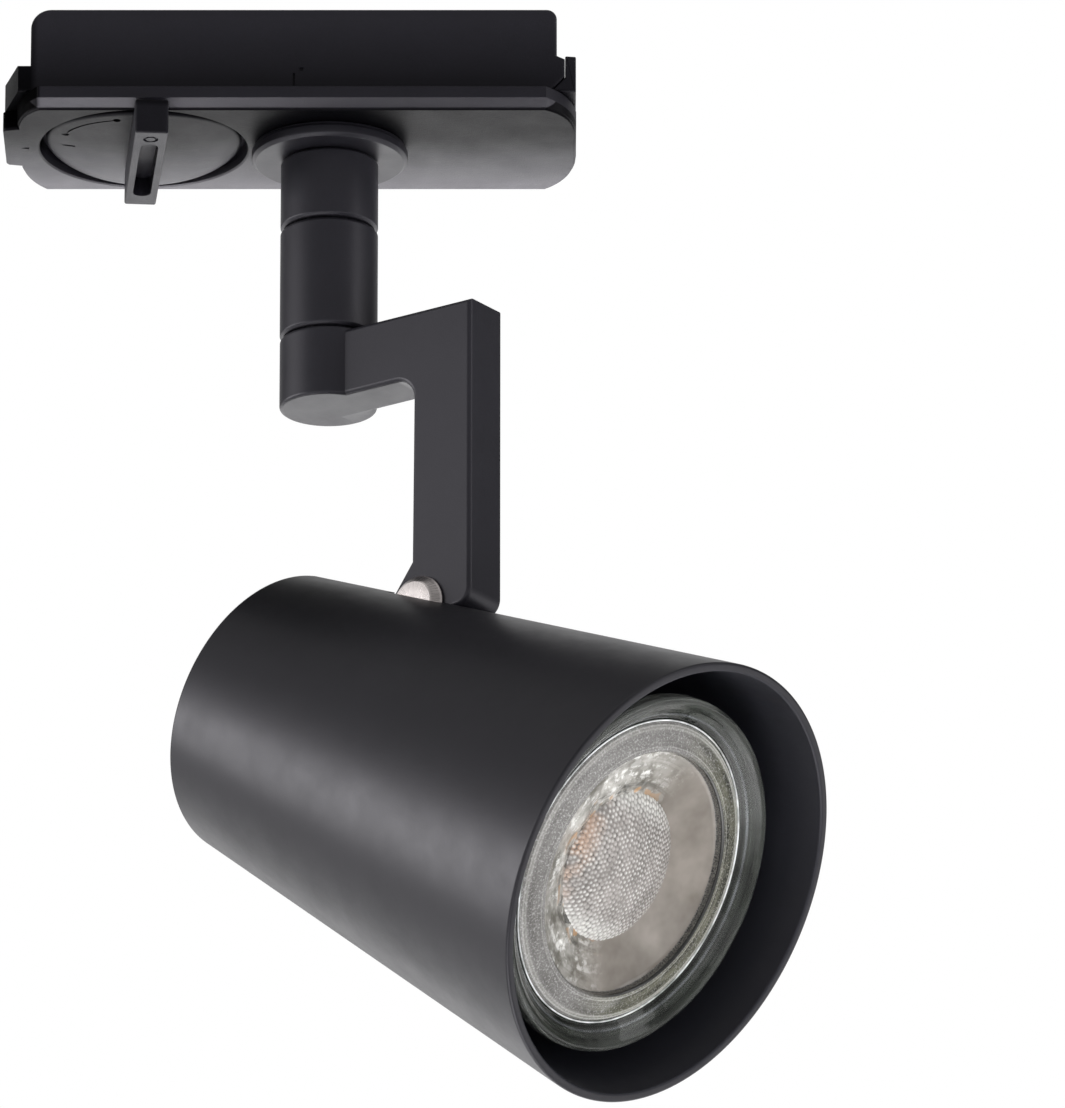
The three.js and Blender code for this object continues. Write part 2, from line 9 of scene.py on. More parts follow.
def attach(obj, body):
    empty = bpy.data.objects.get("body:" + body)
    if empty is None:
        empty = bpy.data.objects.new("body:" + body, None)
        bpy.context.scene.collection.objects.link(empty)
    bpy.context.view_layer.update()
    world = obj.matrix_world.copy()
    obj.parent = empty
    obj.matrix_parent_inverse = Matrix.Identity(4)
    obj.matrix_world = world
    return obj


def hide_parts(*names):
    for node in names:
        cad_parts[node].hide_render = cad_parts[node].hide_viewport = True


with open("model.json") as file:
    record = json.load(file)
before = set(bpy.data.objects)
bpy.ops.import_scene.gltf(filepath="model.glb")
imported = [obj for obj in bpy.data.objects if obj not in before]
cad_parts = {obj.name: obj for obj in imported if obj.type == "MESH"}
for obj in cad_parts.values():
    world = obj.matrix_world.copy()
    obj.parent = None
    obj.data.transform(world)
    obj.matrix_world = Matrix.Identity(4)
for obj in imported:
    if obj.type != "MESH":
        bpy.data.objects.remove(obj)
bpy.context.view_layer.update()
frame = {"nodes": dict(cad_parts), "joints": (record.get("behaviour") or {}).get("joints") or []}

NODES = frame["nodes"]

# ------------------------------------------------------------------ sizes
# The CAD model's driving dimensions, in millimetres in each piece's own frame.

# Adapter
BOX_LEFT = -41.4
BOX_FOOT = -45.2
BOX_RIGHT = 31.7
BOX_HALF_WIDTH = 13
BOX_FLOOR = -12.35
COVER_TOP = -12.65
COVER_FACE = -15.65
COVER_LEFT = -43.4
COVER_TONGUE = -45.4
COVER_RIGHT = 34.4
COVER_HALF_WIDTH = 15.9
STUD_HOLE_R = 4.3

# Locking dial
DIAL_HOLE_R = 14.55
DIAL_R = 13.65
DIAL_RECESS = -13.05
LEVER_LONG = 19.6
LEVER_SHORT = 7.9
LEVER_BOTTOM = -20.9
LEVER_ANGLE = math.radians(5.2)
SPINDLE_R = 4
BLADE_LEVELS = (-4.6, -8.4)

# Stem and bracket
FLANGE_R = 10.9
STEM_R = 6.8
STEM_BORE_R = 4.4
BRACKET_Z = -54.7
YAW = math.radians(-35)
KNUCKLE_R = 6.77
KNUCKLE_HEIGHT = 10.1
ARM_FRONT = 26.8
ARM_TOP = 9.65
ARM_HALF = 3.82
PIVOT_X = 18.3
PIVOT_Z = -33.6
FORK_HALF_GAP = 1.7
SCREW_R = 2

# Head, about its own axis, with +Z to the mouth
HEAD_DROP = math.radians(29.3)
HEAD_LENGTH = 75.5
HEAD_REAR_R = 20.05
HEAD_FRONT_R = 31
HEAD_WALL = 1.3
PIVOT_OFF_AXIS = 21.35
PIVOT_FROM_REAR = 19.2
SLOT_HALF_WIDTH = 4.15
SLOT_FRONT = 9.2

# Lamp
LAMP_R = 25
LAMP_FACE = 70.4
LAMP_DROP = 0.65
LENS_R = 21.25
LENS_WALL = (17.1, 16.93)  # where the step from flange to floor starts and ends
DOME_R = 10.6
DIMPLE_PITCH = 0.74

# ------------------------------------------------------------------ frames
# Frames are in millimetres too. mesh_object() turns everything into metres.


def shift(x, y, z):
    return Matrix.Translation((x, y, z))


def joint_place(name):
    """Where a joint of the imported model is, in millimetres."""
    joint = next(j for j in frame["joints"] if j["name"] == name)
    return [value * 1000 for value in joint["pos_m"]]


DIAL_X, DIAL_Y, _ = joint_place("dial_turn")
ADAPTER = Matrix.Identity(4)
DIAL = shift(DIAL_X, DIAL_Y, 0)
BRACKET = shift(0, 0, BRACKET_Z) @ Matrix.Rotation(YAW, 4, "Z")
PIVOT = BRACKET @ shift(PIVOT_X, 0, PIVOT_Z)
POINTING = Matrix.Rotation(math.pi / 2 + HEAD_DROP, 4, "Y")
HEAD = PIVOT @ POINTING @ shift(PIVOT_OFF_AXIS, 0, -PIVOT_FROM_REAR)
LAMP = HEAD @ shift(LAMP_DROP, 0, 0)
ACROSS = Matrix.Rotation(math.pi / 2, 4, "X")  # turns a piece drawn about Z to lie along -Y

# ------------------------------------------------------------------ outlines


def arc(cx, cy, r, start, end, steps):
    """Points along an arc, angles in degrees, both ends included."""
    turn = [math.radians(start + (end - start) * i / steps) for i in range(steps + 1)]
    return [(cx + r * math.cos(a), cy + r * math.sin(a)) for a in turn]


def bend(p0, p1, p2, steps=10):
    """A quadratic curve from p0 to p2, p0 left out."""
    points = []
    for i in range(1, steps + 1):
        t = i / steps
        a, b, c = (1 - t) ** 2, 2 * t * (1 - t), t * t
        points.append((a * p0[0] + b * p1[0] + c * p2[0], a * p0[1] + b * p1[1] + c * p2[1]))
    return points


def rounded(points, radius, steps=4, closed=False):
    """The same line with every corner turned into a small arc."""
    count = len(points)
    result = []
    for i, point in enumerate(points):
        if not closed and i in (0, count - 1):
            result.append(point)
            continue
        here = Vector(point)
        before = Vector(points[i - 1]) - here
        after = Vector(points[(i + 1) % count]) - here
        if before.length < 1e-6 or after.length < 1e-6:
            result.append(point)
            continue
        opening = before.angle(after)
        if opening > math.radians(172):
            result.append(point)
            continue
        reach = radius / math.tan(opening / 2)
        reach = min(reach, before.length * 0.48, after.length * 0.48)
        start = here + before.normalized() * reach
        end = here + after.normalized() * reach
        result.append(tuple(start))
        result += bend(tuple(start), point, tuple(end), steps)
    return result


def inset(points, distance):
    """A closed anticlockwise outline moved inwards."""
    count = len(points)
    moved = []
    for i in range(count):
        here = Vector(points[i])
        into = (here - Vector(points[i - 1])).normalized()
        out = (Vector(points[(i + 1) % count]) - here).normalized()
        normal = Vector((-into.y - out.y, into.x + out.x))
        normal.normalize()
        spread = max(0.35, normal.dot(Vector((-into.y, into.x))))
        moved.append(tuple(here + normal * (distance / spread)))
    return moved


def anticlockwise(points):
    area = sum(
        p[0] * q[1] - q[0] * p[1] for p, q in zip(points, points[1:] + points[:1])
    )
    return points if area > 0 else points[::-1]


# ------------------------------------------------------------------ meshes


def mesh_object(name, verts, faces, place):
    mesh = bpy.data.meshes.new(name)
    mesh.from_pydata([Vector(v) * 0.001 for v in verts], [], faces)
    obj = bpy.data.objects.new(name, mesh)
    obj.matrix_world = Matrix.Translation(place.translation * 0.001) @ place.to_3x3().to_4x4()
    bpy.context.scene.collection.objects.link(obj)
    bm = bmesh.new()
    bm.from_mesh(mesh)
    bmesh.ops.remove_doubles(bm, verts=bm.verts, dist=1e-7)
    bmesh.ops.recalc_face_normals(bm, faces=bm.faces)
    bm.to_mesh(mesh)
    bm.free()
    return obj


def lathe(name, profile, place, steps=128):
    """A solid of revolution about Z. The profile starts and ends on the axis, or closes."""
    loop = profile[0] == profile[-1]
    rows = profile[:-1] if loop else profile
    verts, index = [], []
    for r, z in rows:
        if r < 1e-6:
            index.append([len(verts)] * steps)
            verts.append((0, 0, z))
            continue
        index.append(list(range(len(verts), len(verts) + steps)))
        for k in range(steps):
            a = 2 * math.pi * k / steps
            verts.append((r * math.cos(a), r * math.sin(a), z))
    faces = []
    for i in range(len(rows) if loop else len(rows) - 1):
        low, high = index[i], index[(i + 1) % len(rows)]
        for k in range(steps):
            m = (k + 1) % steps
            face = []
            for v in (low[k], low[m], high[m], high[k]):
                if v not in face:
                    face.append(v)
            if len(face) > 2:
                faces.append(face)
    return mesh_object(name, verts, faces, place)


def loft(name, rings, place):
    """Closed outlines of equal length joined one above the other, with flat ends."""
    count = len(rings[0][1])
    verts = [(x, y, z) for z, ring in rings for x, y in ring]
    faces = [list(range(count))[::-1]]
    for level in range(len(rings) - 1):
        a, b = level * count, (level + 1) * count
        for k in range(count):
            m = (k + 1) % count
            faces.append([a + k, a + m, b + m, b + k])
    faces.append([(len(rings) - 1) * count + k for k in range(count)])
    return mesh_object(name, verts, faces, place)


def slab(name, outline, low, high, edge, place, steps=4):
    """An outline pulled along Z, its end edges rounded."""
    outline = anticlockwise(outline)
    if edge <= 0:
        return loft(name, [(low, outline), (high, outline)], place)
    turn = [math.pi / 2 * i / steps for i in range(steps + 1)]
    lower = [(low + edge * (1 - math.sin(a)), edge * (1 - math.cos(a))) for a in turn]
    upper = [(high - (z - low), d) for z, d in lower]
    rings = sorted(lower + upper)
    return loft(name, [(z, inset(outline, d)) for z, d in rings], place)


def block(x0, x1, y0, y1, z0, z1, place):
    outline = [(x0, y0), (x1, y0), (x1, y1), (x0, y1)]
    return slab("tool", outline, z0, z1, 0, place)


def drum(r, z0, z1, place, steps=96):
    return lathe("tool", [(0, z0), (r, z0), (r, z1), (0, z1)], place, steps)


def shape(obj, kind, *tools):
    """Joins ("UNION") or cuts ("DIFFERENCE") obj with the tools, which are used up."""
    for tool in tools:
        modifier = obj.modifiers.new("shape", "BOOLEAN")
        modifier.operation = kind
        modifier.solver = "MANIFOLD"
        modifier.object = tool
    bpy.context.view_layer.update()
    graph = bpy.context.evaluated_depsgraph_get()
    result = bpy.data.meshes.new_from_object(obj.evaluated_get(graph))
    result.name = obj.name
    obj.modifiers.clear()
    obj.data = result
    for tool in tools:
        bpy.data.objects.remove(tool)
    return obj


def settle(obj, body, material, slot, *stands_for, angle=35):
    """Smooth shading, material, body and CAD node of a finished piece."""
    mesh = obj.data
    mesh.shade_smooth()
    mesh.set_sharp_from_angle(angle=math.radians(angle))
    mesh.materials.clear()
    mesh.materials.append(material)
    even = obj.modifiers.new("even_normals", "WEIGHTED_NORMAL")
    even.keep_sharp = True
    even.weight = 80
    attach(obj, body)
    if stands_for:
        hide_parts(*stands_for)
    return obj


# ------------------------------------------------------------------ materials


class Tree:
    """A node tree, with short calls to add and join nodes."""

    def __init__(self, tree):
        self.tree = tree

    def put(self, socket, value):
        """Gives an input a plain value, or joins another node's output to it."""
        if isinstance(value, bpy.types.NodeSocket):
            self.tree.links.new(value, socket)
        else:
            socket.default_value = value

    def add(self, kind, values=None, **settings):
        """A new node with its settings and the values of its inputs, by index or name."""
        node = self.tree.nodes.new(kind)
        for key, value in settings.items():
            setattr(node, key, value)
        for key, value in (values or {}).items():
            self.put(node.inputs[key], value)
        return node

    def calculate(self, operation, a, b):
        return self.add("ShaderNodeMath", {0: a, 1: b}, operation=operation).outputs[0]


class Nodes(Tree):
    """The nodes of one material, in the piece's own coordinates. Lengths are in metres."""

    def __init__(self, name):
        self.material = bpy.data.materials.new(name)
        self.material.use_nodes = True
        super().__init__(self.material.node_tree)
        self.shader = self.tree.nodes["Principled BSDF"]
        self.where = self.add("ShaderNodeTexCoord").outputs["Object"]

    def around_axis(self):
        """The place across the piece's own Z axis, its distance from it, and its height."""
        split = self.add("ShaderNodeSeparateXYZ", {0: self.where}).outputs
        flat = self.add("ShaderNodeCombineXYZ", {0: split[0], 1: split[1]}).outputs[0]
        radius = self.add("ShaderNodeVectorMath", {0: flat}, operation="LENGTH").outputs["Value"]
        return flat, radius, split[2]

    def turned(self):
        """Coordinates that change with radius and height only, as lines left by a lathe."""
        _, radius, height = self.around_axis()
        return self.add("ShaderNodeCombineXYZ", {0: radius, 2: height}).outputs[0]

    def polar(self, around, outward):
        """Coordinates for streaks that run outwards: they change quickly around the axis."""
        flat, radius, _ = self.around_axis()
        unit = self.add("ShaderNodeVectorMath", {0: flat}, operation="NORMALIZE").outputs[0]
        wide = self.add("ShaderNodeVectorMath", {0: unit, 3: around}, operation="SCALE")
        rise = self.add("ShaderNodeCombineXYZ", {2: self.times(radius, outward)}).outputs[0]
        values = {0: wide.outputs[0], 1: rise}
        return self.add("ShaderNodeVectorMath", values, operation="ADD").outputs[0]

    def axis(self, index):
        """One of the piece's own coordinates, in metres."""
        return self.add("ShaderNodeSeparateXYZ", {0: self.where}).outputs[index]

    def mix(self, factor, a, b):
        return self.add("ShaderNodeMix", {0: factor, 2: a, 3: b}).outputs[0]

    def times(self, a, b):
        return self.calculate("MULTIPLY", a, b)

    def line(self, radius, middle, width):
        """1 on a ring of that radius, falling to 0 beside it."""
        off = self.calculate("SUBTRACT", radius, middle)
        off = self.add("ShaderNodeMath", {0: off}, operation="ABSOLUTE").outputs[0]
        return self.span(off, 0.8, 0.0, 0.2 * width, width)

    def stored(self, name):
        """A number that paint() left on the mesh."""
        return self.add("ShaderNodeAttribute", attribute_name=name).outputs["Fac"]

    def noise(self, scale, detail=3.0, rough=0.55, where=None):
        values = {"Vector": where or self.where, "Scale": scale, "Detail": detail}
        values["Roughness"] = rough
        return self.add("ShaderNodeTexNoise", values).outputs["Fac"]

    def span(self, value, low, high, start=0.3, end=0.7):
        """low where the value is at start, high where it is at end, and held there beyond."""
        values = {0: value, 1: start, 2: end, 3: low, 4: high}
        return self.add("ShaderNodeMapRange", values).outputs[0]

    def blend(self, factor, a, b):
        """Colour a where the factor is 0, colour b where it is 1."""
        values = {0: factor, 6: a, 7: b}
        return self.add("ShaderNodeMix", values, data_type="RGBA").outputs[2]

    def bump(self, height, strength, distance, normal=None):
        values = {"Height": height, "Strength": strength, "Distance": distance}
        if normal is not None:
            values["Normal"] = normal
        return self.add("ShaderNodeBump", values).outputs["Normal"]

    def join(self, **values):
        """Sets the shader's inputs, and returns the finished material."""
        for key, value in values.items():
            self.put(self.shader.inputs[key.replace("_", " ")], value)
        return self.material


def tone(colour, factor=1.0):
    return tuple(min(1.0, c * factor) for c in colour) + (1.0,)


def coating(name, colour, rough, grain, grain_height, coat=0.0, painted_light=None):
    """Paint or moulded plastic: slight clouding, fine grain, uneven gloss.

    The function passed last, if given, scales gloss and colour over the piece: painted light and
    shade.
    """
    n = Nodes(name)
    cloud = n.noise(60.0, 4.0)
    fine = n.noise(grain, 2.0, 0.6)
    smudge = n.noise(180.0, 5.0, 0.65)
    base = n.blend(n.span(cloud, 0.0, 1.0), tone(colour, 0.88), tone(colour, 1.14))
    base = n.blend(n.span(fine, 0.0, 0.35, 0.5, 0.75), base, tone(colour, 1.5))
    normal = n.bump(fine, 0.55, grain_height)
    gloss = n.span(smudge, rough - 0.035, rough + 0.05)
    specular = 0.5
    # Painted light and shade: gloss and base colour scaled by where on the piece they are.
    if painted_light:
        amount = painted_light(n)
        specular = n.times(0.5, amount)
        painted_shade_factor = n.span(amount, 0.0, 1.0, 0.0, 1.0)
        base = n.add("ShaderNodeVectorMath", {0: base, 3: painted_shade_factor}, operation="SCALE").outputs[0]
    return n.join(
        Base_Color=base, Roughness=gloss, Normal=normal, Coat_Weight=coat, Coat_Roughness=0.25,
        Specular_IOR_Level=specular, Specular_Tint=(0.95, 0.92, 1.0, 1),
    )


def housing_painted_light(n):
    """Painted light: brighter along the walls' top edge than down by the cover, painted dark on
    the foot.
    """
    # Painted shade on the foot at the left end.
    foot = n.span(n.axis(0), 0.25, 1.0, -0.0414, -0.0404)
    return n.times(foot, n.span(n.axis(1), 0.5, 1.06, -0.0105, -0.0015))


def far_edge_painted_light(n, low, high):
    """Painted light that rises towards the far long edge."""
    far = n.span(n.axis(1), 0.0, 1.0, -0.010, 0.014)
    return n.span(n.times(far, n.times(far, far)), low, high, 0.0, 1.0)


def cover_painted_light(n):
    """Painted light: a bright front bevel, dull side walls, a dark left end, a brighter far
    underside.
    """
    x, y, z = n.axis(0), n.axis(1), n.axis(2)
    # Painted highlight on the front bevel strip; the underside gets the far-edge painted light.
    under = n.mix(n.span(y, 0.0, 1.0, -0.01445, -0.01425), 1.9, far_edge_painted_light(n, 0.17, 4.4))
    # Painted shade at the left end and on the side walls.
    end = n.span(x, 0.12, 0.85, -0.0404, -0.0398)
    bevel = n.mix(n.span(z, 0.0, 1.0, -0.0153, -0.0151), 1.0, n.span(end, 0.15, 1.0, 0.12, 0.85))
    sides = n.mix(n.span(z, 0.0, 1.0, -0.01445, -0.01432), under, end)
    return n.times(sides, bevel)


def dial_painted_light(n):
    """Painted light like the cover's on the disc, with a painted dull end on the lever."""
    lever = n.span(n.axis(1), 0.5, 0.85, -0.0194, -0.0190)
    return n.mix(n.span(n.axis(2), 1.0, 0.0, -0.0170, -0.0164), far_edge_painted_light(n, 0.24, 3.6), lever)


def flange_painted_light(n):
    """Painted light: a little brighter towards its far side."""
    return far_edge_painted_light(n, 0.9, 1.6)


def head_painted_shade(n):
    """Painted shade: duller along the top of the cone near its rear."""
    _, radius, height = n.around_axis()
    up = n.calculate("DIVIDE", n.axis(0), radius)
    along = n.span(height, 0.0, 1.0, 0.013, 0.034)
    return n.mix(along, n.span(up, 0.33, 1.0, -0.85, -0.25), 1.0)


def metal(name, colour, rough, stretch, scale=900.0):
    """Bare metal with lines drawn along the stretched axis."""
    n = Nodes(name)
    where = n.add("ShaderNodeMapping", {"Vector": n.where, "Scale": stretch}).outputs[0]
    lines = n.noise(scale, 4.0, 0.7, where)
    cloud = n.noise(120.0, 4.0)
    base = n.blend(n.span(cloud, 0.0, 1.0), tone(colour, 0.86), tone(colour, 1.06))
    base = n.blend(n.span(lines, 0.0, 0.5), base, tone(colour, 0.78))
    return n.join(
        Base_Color=base, Metallic=1.0, Roughness=n.span(lines, rough - 0.06, rough + 0.1),
        Normal=n.bump(lines, 0.35, 0.00003),
    )


def ceramic(name, colour, rough=0.35):
    n = Nodes(name)
    cloud = n.noise(90.0, 5.0)
    specks = n.noise(1400.0, 2.0)
    base = n.blend(n.span(cloud, 0.0, 1.0), tone(colour, 0.9), tone(colour, 1.05))
    base = n.blend(n.span(specks, 0.0, 0.6, 0.62, 0.75), base, tone(colour, 0.6))
    return n.join(
        Base_Color=base, Roughness=n.span(cloud, rough, rough + 0.15),
        Normal=n.bump(specks, 0.3, 0.00002),
    )


def clear_glass(name):
    """Pressed glass: grey-green, soft waves, fine turned lines, painted rim highlight and ring
    lines.
    """
    n = Nodes(name)
    wave = n.noise(130.0, 3.0, 0.5)
    rings = n.noise(1300.0, 3.0, 0.7, n.turned())
    tint = n.blend(n.span(wave, 0.0, 1.0), (0.09, 0.105, 0.088, 1), (0.27, 0.295, 0.255, 1))
    tint = n.blend(n.span(rings, 0.0, 0.7, 0.5, 0.62), tint, (0.06, 0.066, 0.058, 1))
    tint = n.blend(n.span(rings, 0.6, 0.0, 0.36, 0.46), tint, (0.42, 0.45, 0.40, 1))
    _, radius, _ = n.around_axis()
    # Painted highlight: lighter towards the outer rim.
    tint = n.blend(n.span(radius, 0.0, 0.7, 0.0243, 0.0248), tint, (0.85, 0.88, 0.84, 1))
    # A painted dark ring line and a painted bright one, standing for reflections.
    tint = n.blend(n.line(radius, 0.02185, 0.00022), tint, (0.02, 0.02, 0.02, 1))
    tint = n.blend(n.line(radius, 0.02235, 0.00022), tint, (0.84, 0.88, 0.93, 1))
    bumps = n.bump(wave, 0.6, 0.0006)
    return n.join(
        Base_Color=tint, Transmission_Weight=n.span(wave, 0.74, 0.92, 0.35, 0.6),
        Roughness=n.span(rings, 0.03, 0.12), IOR=1.5,
        Normal=n.bump(rings, 0.7, 0.00008, bumps), Specular_IOR_Level=0.7,
    )


def optic_floor(name):
    """Clear moulding over a pale inside: plain taupe; on its lit side silvery, with painted
    streaks and glints.
    """
    n = Nodes(name)
    # clear holds the lit-side mask: 1 where the painted light shows.
    clear = n.stored("lit_side")
    _, radius, _ = n.around_axis()
    broad = n.noise(170.0, 3.0, 0.5)
    rays = n.noise(1.0, 3.0, 0.6, n.polar(3.6, 420.0))
    arcs = n.noise(900.0, 2.0, 0.5, n.turned())
    plain = n.blend(n.span(broad, 0.0, 1.0), (0.145, 0.126, 0.106, 1), (0.275, 0.246, 0.218, 1))
    # Painted light: streaks running outwards, standing for light refracted in the optic.
    streak = n.span(rays, 0.0, 1.0, 0.38, 0.6)
    lively = n.blend(streak, (0.19, 0.18, 0.155, 1), (0.50, 0.485, 0.45, 1))
    # Painted glints on bright arcs, and painted dark streaks on dark arcs.
    glint = n.span(n.noise(520.0, 4.0, 0.7), 0.0, 1.0, 0.5, 0.6)
    painted_highlight = n.times(n.span(arcs, 0.25, 0.9, 0.48, 0.6), glint)
    lively = n.blend(painted_highlight, lively, (0.94, 0.93, 0.90, 1))
    dull = n.times(n.span(arcs, 0.7, 0.0, 0.38, 0.46), n.span(glint, 1.0, 0.2, 0.0, 1.0))
    lively = n.blend(dull, lively, (0.12, 0.113, 0.10, 1))
    # Beside the dome: a painted orange glimpse of the LED and painted dark patches.
    beside = n.span(radius, 1.0, 0.0, 0.0112, 0.0126)
    patch = n.noise(1.0, 1.0, 0.4, n.polar(5.0, 700.0))
    painted_led_glimpse = n.times(n.span(patch, 0.0, 0.75, 0.58, 0.64), beside)
    dark = n.times(n.span(patch, 0.85, 0.0, 0.36, 0.42), beside)
    lively = n.blend(dark, n.blend(painted_led_glimpse, lively, (0.62, 0.36, 0.17, 1)), (0.04, 0.04, 0.035, 1))
    # The painted light shows on the lit side only; the other side stays plain taupe.
    amount = n.span(clear, 0.0, 0.95, 0.1, 0.8)
    rough = n.bump(rays, n.span(clear, 0.05, 0.6, 0.1, 0.8), 0.0004)
    return n.join(
        Base_Color=n.blend(amount, plain, lively), Metallic=n.span(clear, 0.0, 0.2, 0.2, 0.8),
        Roughness=n.span(broad, 0.14, 0.26), Coat_Weight=0.7, Coat_Roughness=0.05,
        Normal=n.bump(arcs, n.span(clear, 0.05, 0.4, 0.1, 0.8), 0.00012, rough),
    )


def optic_frosted(name):
    """Lightly grained flange of the optic: painted pale on its lit side, darker greenish on the
    other.
    """
    n = Nodes(name)
    # clear holds the lit-side mask.
    clear = n.stored("lit_side")
    _, radius, _ = n.around_axis()
    grain = n.noise(3600.0, 2.0, 0.6)
    broad = n.noise(1.0, 3.0, 0.5, n.polar(3.0, 500.0))
    rings = n.noise(1800.0, 2.0, 0.5, n.turned())
    # Painted light and shade: a darker greenish tone for one side, a pale one for the lit side.
    dull = n.blend(n.span(broad, 0.0, 1.0), (0.05, 0.05, 0.036, 1), (0.20, 0.197, 0.145, 1))
    pale = n.blend(n.span(broad, 0.0, 1.0), (0.15, 0.143, 0.136, 1), (0.245, 0.236, 0.228, 1))
    base = n.blend(n.span(clear, 0.0, 1.0, 0.0, 0.6), dull, pale)
    # Painted bright and dark ring lines, strongest on the darker side.
    ringed = n.span(clear, 1.0, 0.45, 0.2, 0.8)
    light_ring = n.times(n.span(rings, 0.0, 0.6, 0.5, 0.64), ringed)
    base = n.blend(light_ring, base, (0.85, 0.85, 0.80, 1))
    dark_ring = n.times(n.span(rings, 0.6, 0.0, 0.36, 0.46), ringed)
    base = n.blend(dark_ring, base, (0.05, 0.05, 0.04, 1))
    # Grain specks: the grain is real; their near-white tops are painted glints.
    base = n.blend(n.span(grain, 0.0, 0.34, 0.52, 0.7), base, (0.85, 0.84, 0.84, 1))
    base = n.blend(n.span(grain, 0.3, 0.0, 0.3, 0.45), base, (0.08, 0.08, 0.075, 1))
    # A painted dark line of shade along the inner edge, on the darker side.
    edge = n.times(n.span(radius, 0.95, 0.0, 0.01735, 0.0175), n.span(clear, 1.0, 0.2, 0.1, 0.5))
    base = n.blend(edge, base, (0.012, 0.012, 0.012, 1))
    return n.join(
        Base_Color=base, Metallic=0.1, Roughness=0.24, Coat_Weight=0.9, Coat_Roughness=0.06,
        Normal=n.bump(grain, 0.35, 0.00005),
    )


def optic_wall(name):
    """Grained upright step between the optic's flange and floor: painted shade with painted
    glints.
    """
    n = Nodes(name)
    grain = n.noise(4800.0, 2.0, 0.6)
    # Painted shade and glints: a near-black ground with light specks.
    speckle = n.span(grain, 0.0, 1.0, 0.38, 0.66)
    base = n.blend(speckle, (0.03, 0.031, 0.032, 1), (0.24, 0.23, 0.21, 1))
    return n.join(Base_Color=base, Roughness=0.3, Normal=n.bump(grain, 0.4, 0.00006))


def optic_dimpled(name):
    """Dimpled silvery dome: a painted highlight in every dimple, dark rims, and an orange LED
    glimpse to one side.
    """
    n = Nodes(name)
    split = n.add("ShaderNodeSeparateXYZ", {0: n.where}).outputs
    cell = n.stored("cell")
    broad = n.noise(260.0, 3.0, 0.5)
    uneven = n.span(n.noise(430.0, 3.0, 0.6), 0.12, 1.0, 0.36, 0.62)
    # Painted highlights towards both ends of the dome.
    ends = n.add("ShaderNodeMath", {0: split[0]}, operation="ABSOLUTE").outputs[0]
    painted_highlight = n.span(ends, 0.0, 0.8, 0.0066, 0.0094)
    base = n.blend(n.span(broad, 0.0, 1.0), (0.25, 0.23, 0.215, 1), (0.42, 0.39, 0.37, 1))
    base = n.blend(painted_highlight, base, (0.70, 0.69, 0.66, 1))
    # A painted orange glimpse of the LED towards one side.
    led_glimpse_side = n.span(split[1], 0.55, 0.0, -0.0098, -0.0066)
    painted_led_glimpse = n.times(led_glimpse_side, n.span(n.noise(260.0, 1.0), 0.0, 1.0, 0.42, 0.58))
    base = n.blend(painted_led_glimpse, base, (0.66, 0.38, 0.22, 1))
    # A painted highlight in each dimple, and painted dark rims between them.
    aside = n.span(n.noise(520.0, 2.0, 0.5), 0.45, 1.0, 0.38, 0.58)
    painted_glint = n.times(n.span(cell, 0.62, 0.0, 0.03, 0.36), uneven)
    rim = n.times(n.span(cell, 0.0, 0.92, 0.5, 1.0), aside)
    rim = n.times(rim, n.span(split[1], 1.0, 0.7, -0.007, 0.0))
    base = n.blend(painted_glint, base, (0.97, 0.96, 0.94, 1))
    base = n.blend(rim, base, (0.10, 0.093, 0.085, 1))
    return n.join(
        Base_Color=base, Metallic=0.15, Roughness=n.span(broad, 0.10, 0.2), Coat_Weight=0.9,
        Coat_Roughness=0.04, Normal=n.bump(n.noise(900.0, 2.0), 0.15, 0.00008),
    )


def bead_glass(name):
    """Polished edge of the optic, with a painted highlight in places and dull in others."""
    n = Nodes(name)
    shine = n.span(n.noise(1.0, 3.0, 0.6, n.polar(4.0, 0.0)), 0.0, 1.0, 0.38, 0.58)
    # Painted highlight: near-white where the noise runs high.
    base = n.blend(shine, (0.30, 0.32, 0.31, 1), (0.93, 0.95, 0.96, 1))
    return n.join(Base_Color=base, Roughness=n.span(shine, 0.2, 0.07), Coat_Weight=0.5)


def turned_cap(name, colour):
    """Nickel cap: radially brushed, bright face, side painted darker as shade, painted bright
    edge lines.
    """
    n = Nodes(name)
    _, radius, height = n.around_axis()
    hair = n.noise(1.0, 3.0, 0.7, n.polar(46.0, 300.0))
    cloud = n.noise(300.0, 3.0)
    face = n.blend(n.span(cloud, 0.0, 1.0), tone(colour, 0.90), tone(colour, 1.0))
    # Painted shade: the conical side is darker than the face.
    side = n.blend(n.span(hair, 0.0, 1.0, 0.35, 0.6), tone(colour, 0.30), tone(colour, 0.85))
    base = n.blend(n.span(height, 0.0, 1.0, 0.00528, 0.00546), side, face)
    # Painted highlights: bright lines round the face's edge and at the brim.
    for edge in (0.0030, 0.0041):
        base = n.blend(n.line(radius, edge, 0.0002), base, tone(colour, 1.1))
    return n.join(
        Base_Color=base, Metallic=1.0, Roughness=n.span(hair, 0.24, 0.38),
        Normal=n.bump(hair, 0.3, 0.00002),
    )


# (colour, roughness, grain, grain height, coat)
MOULDED = ((0.0090, 0.0086, 0.0128), 0.44, 5200.0, 0.00006)
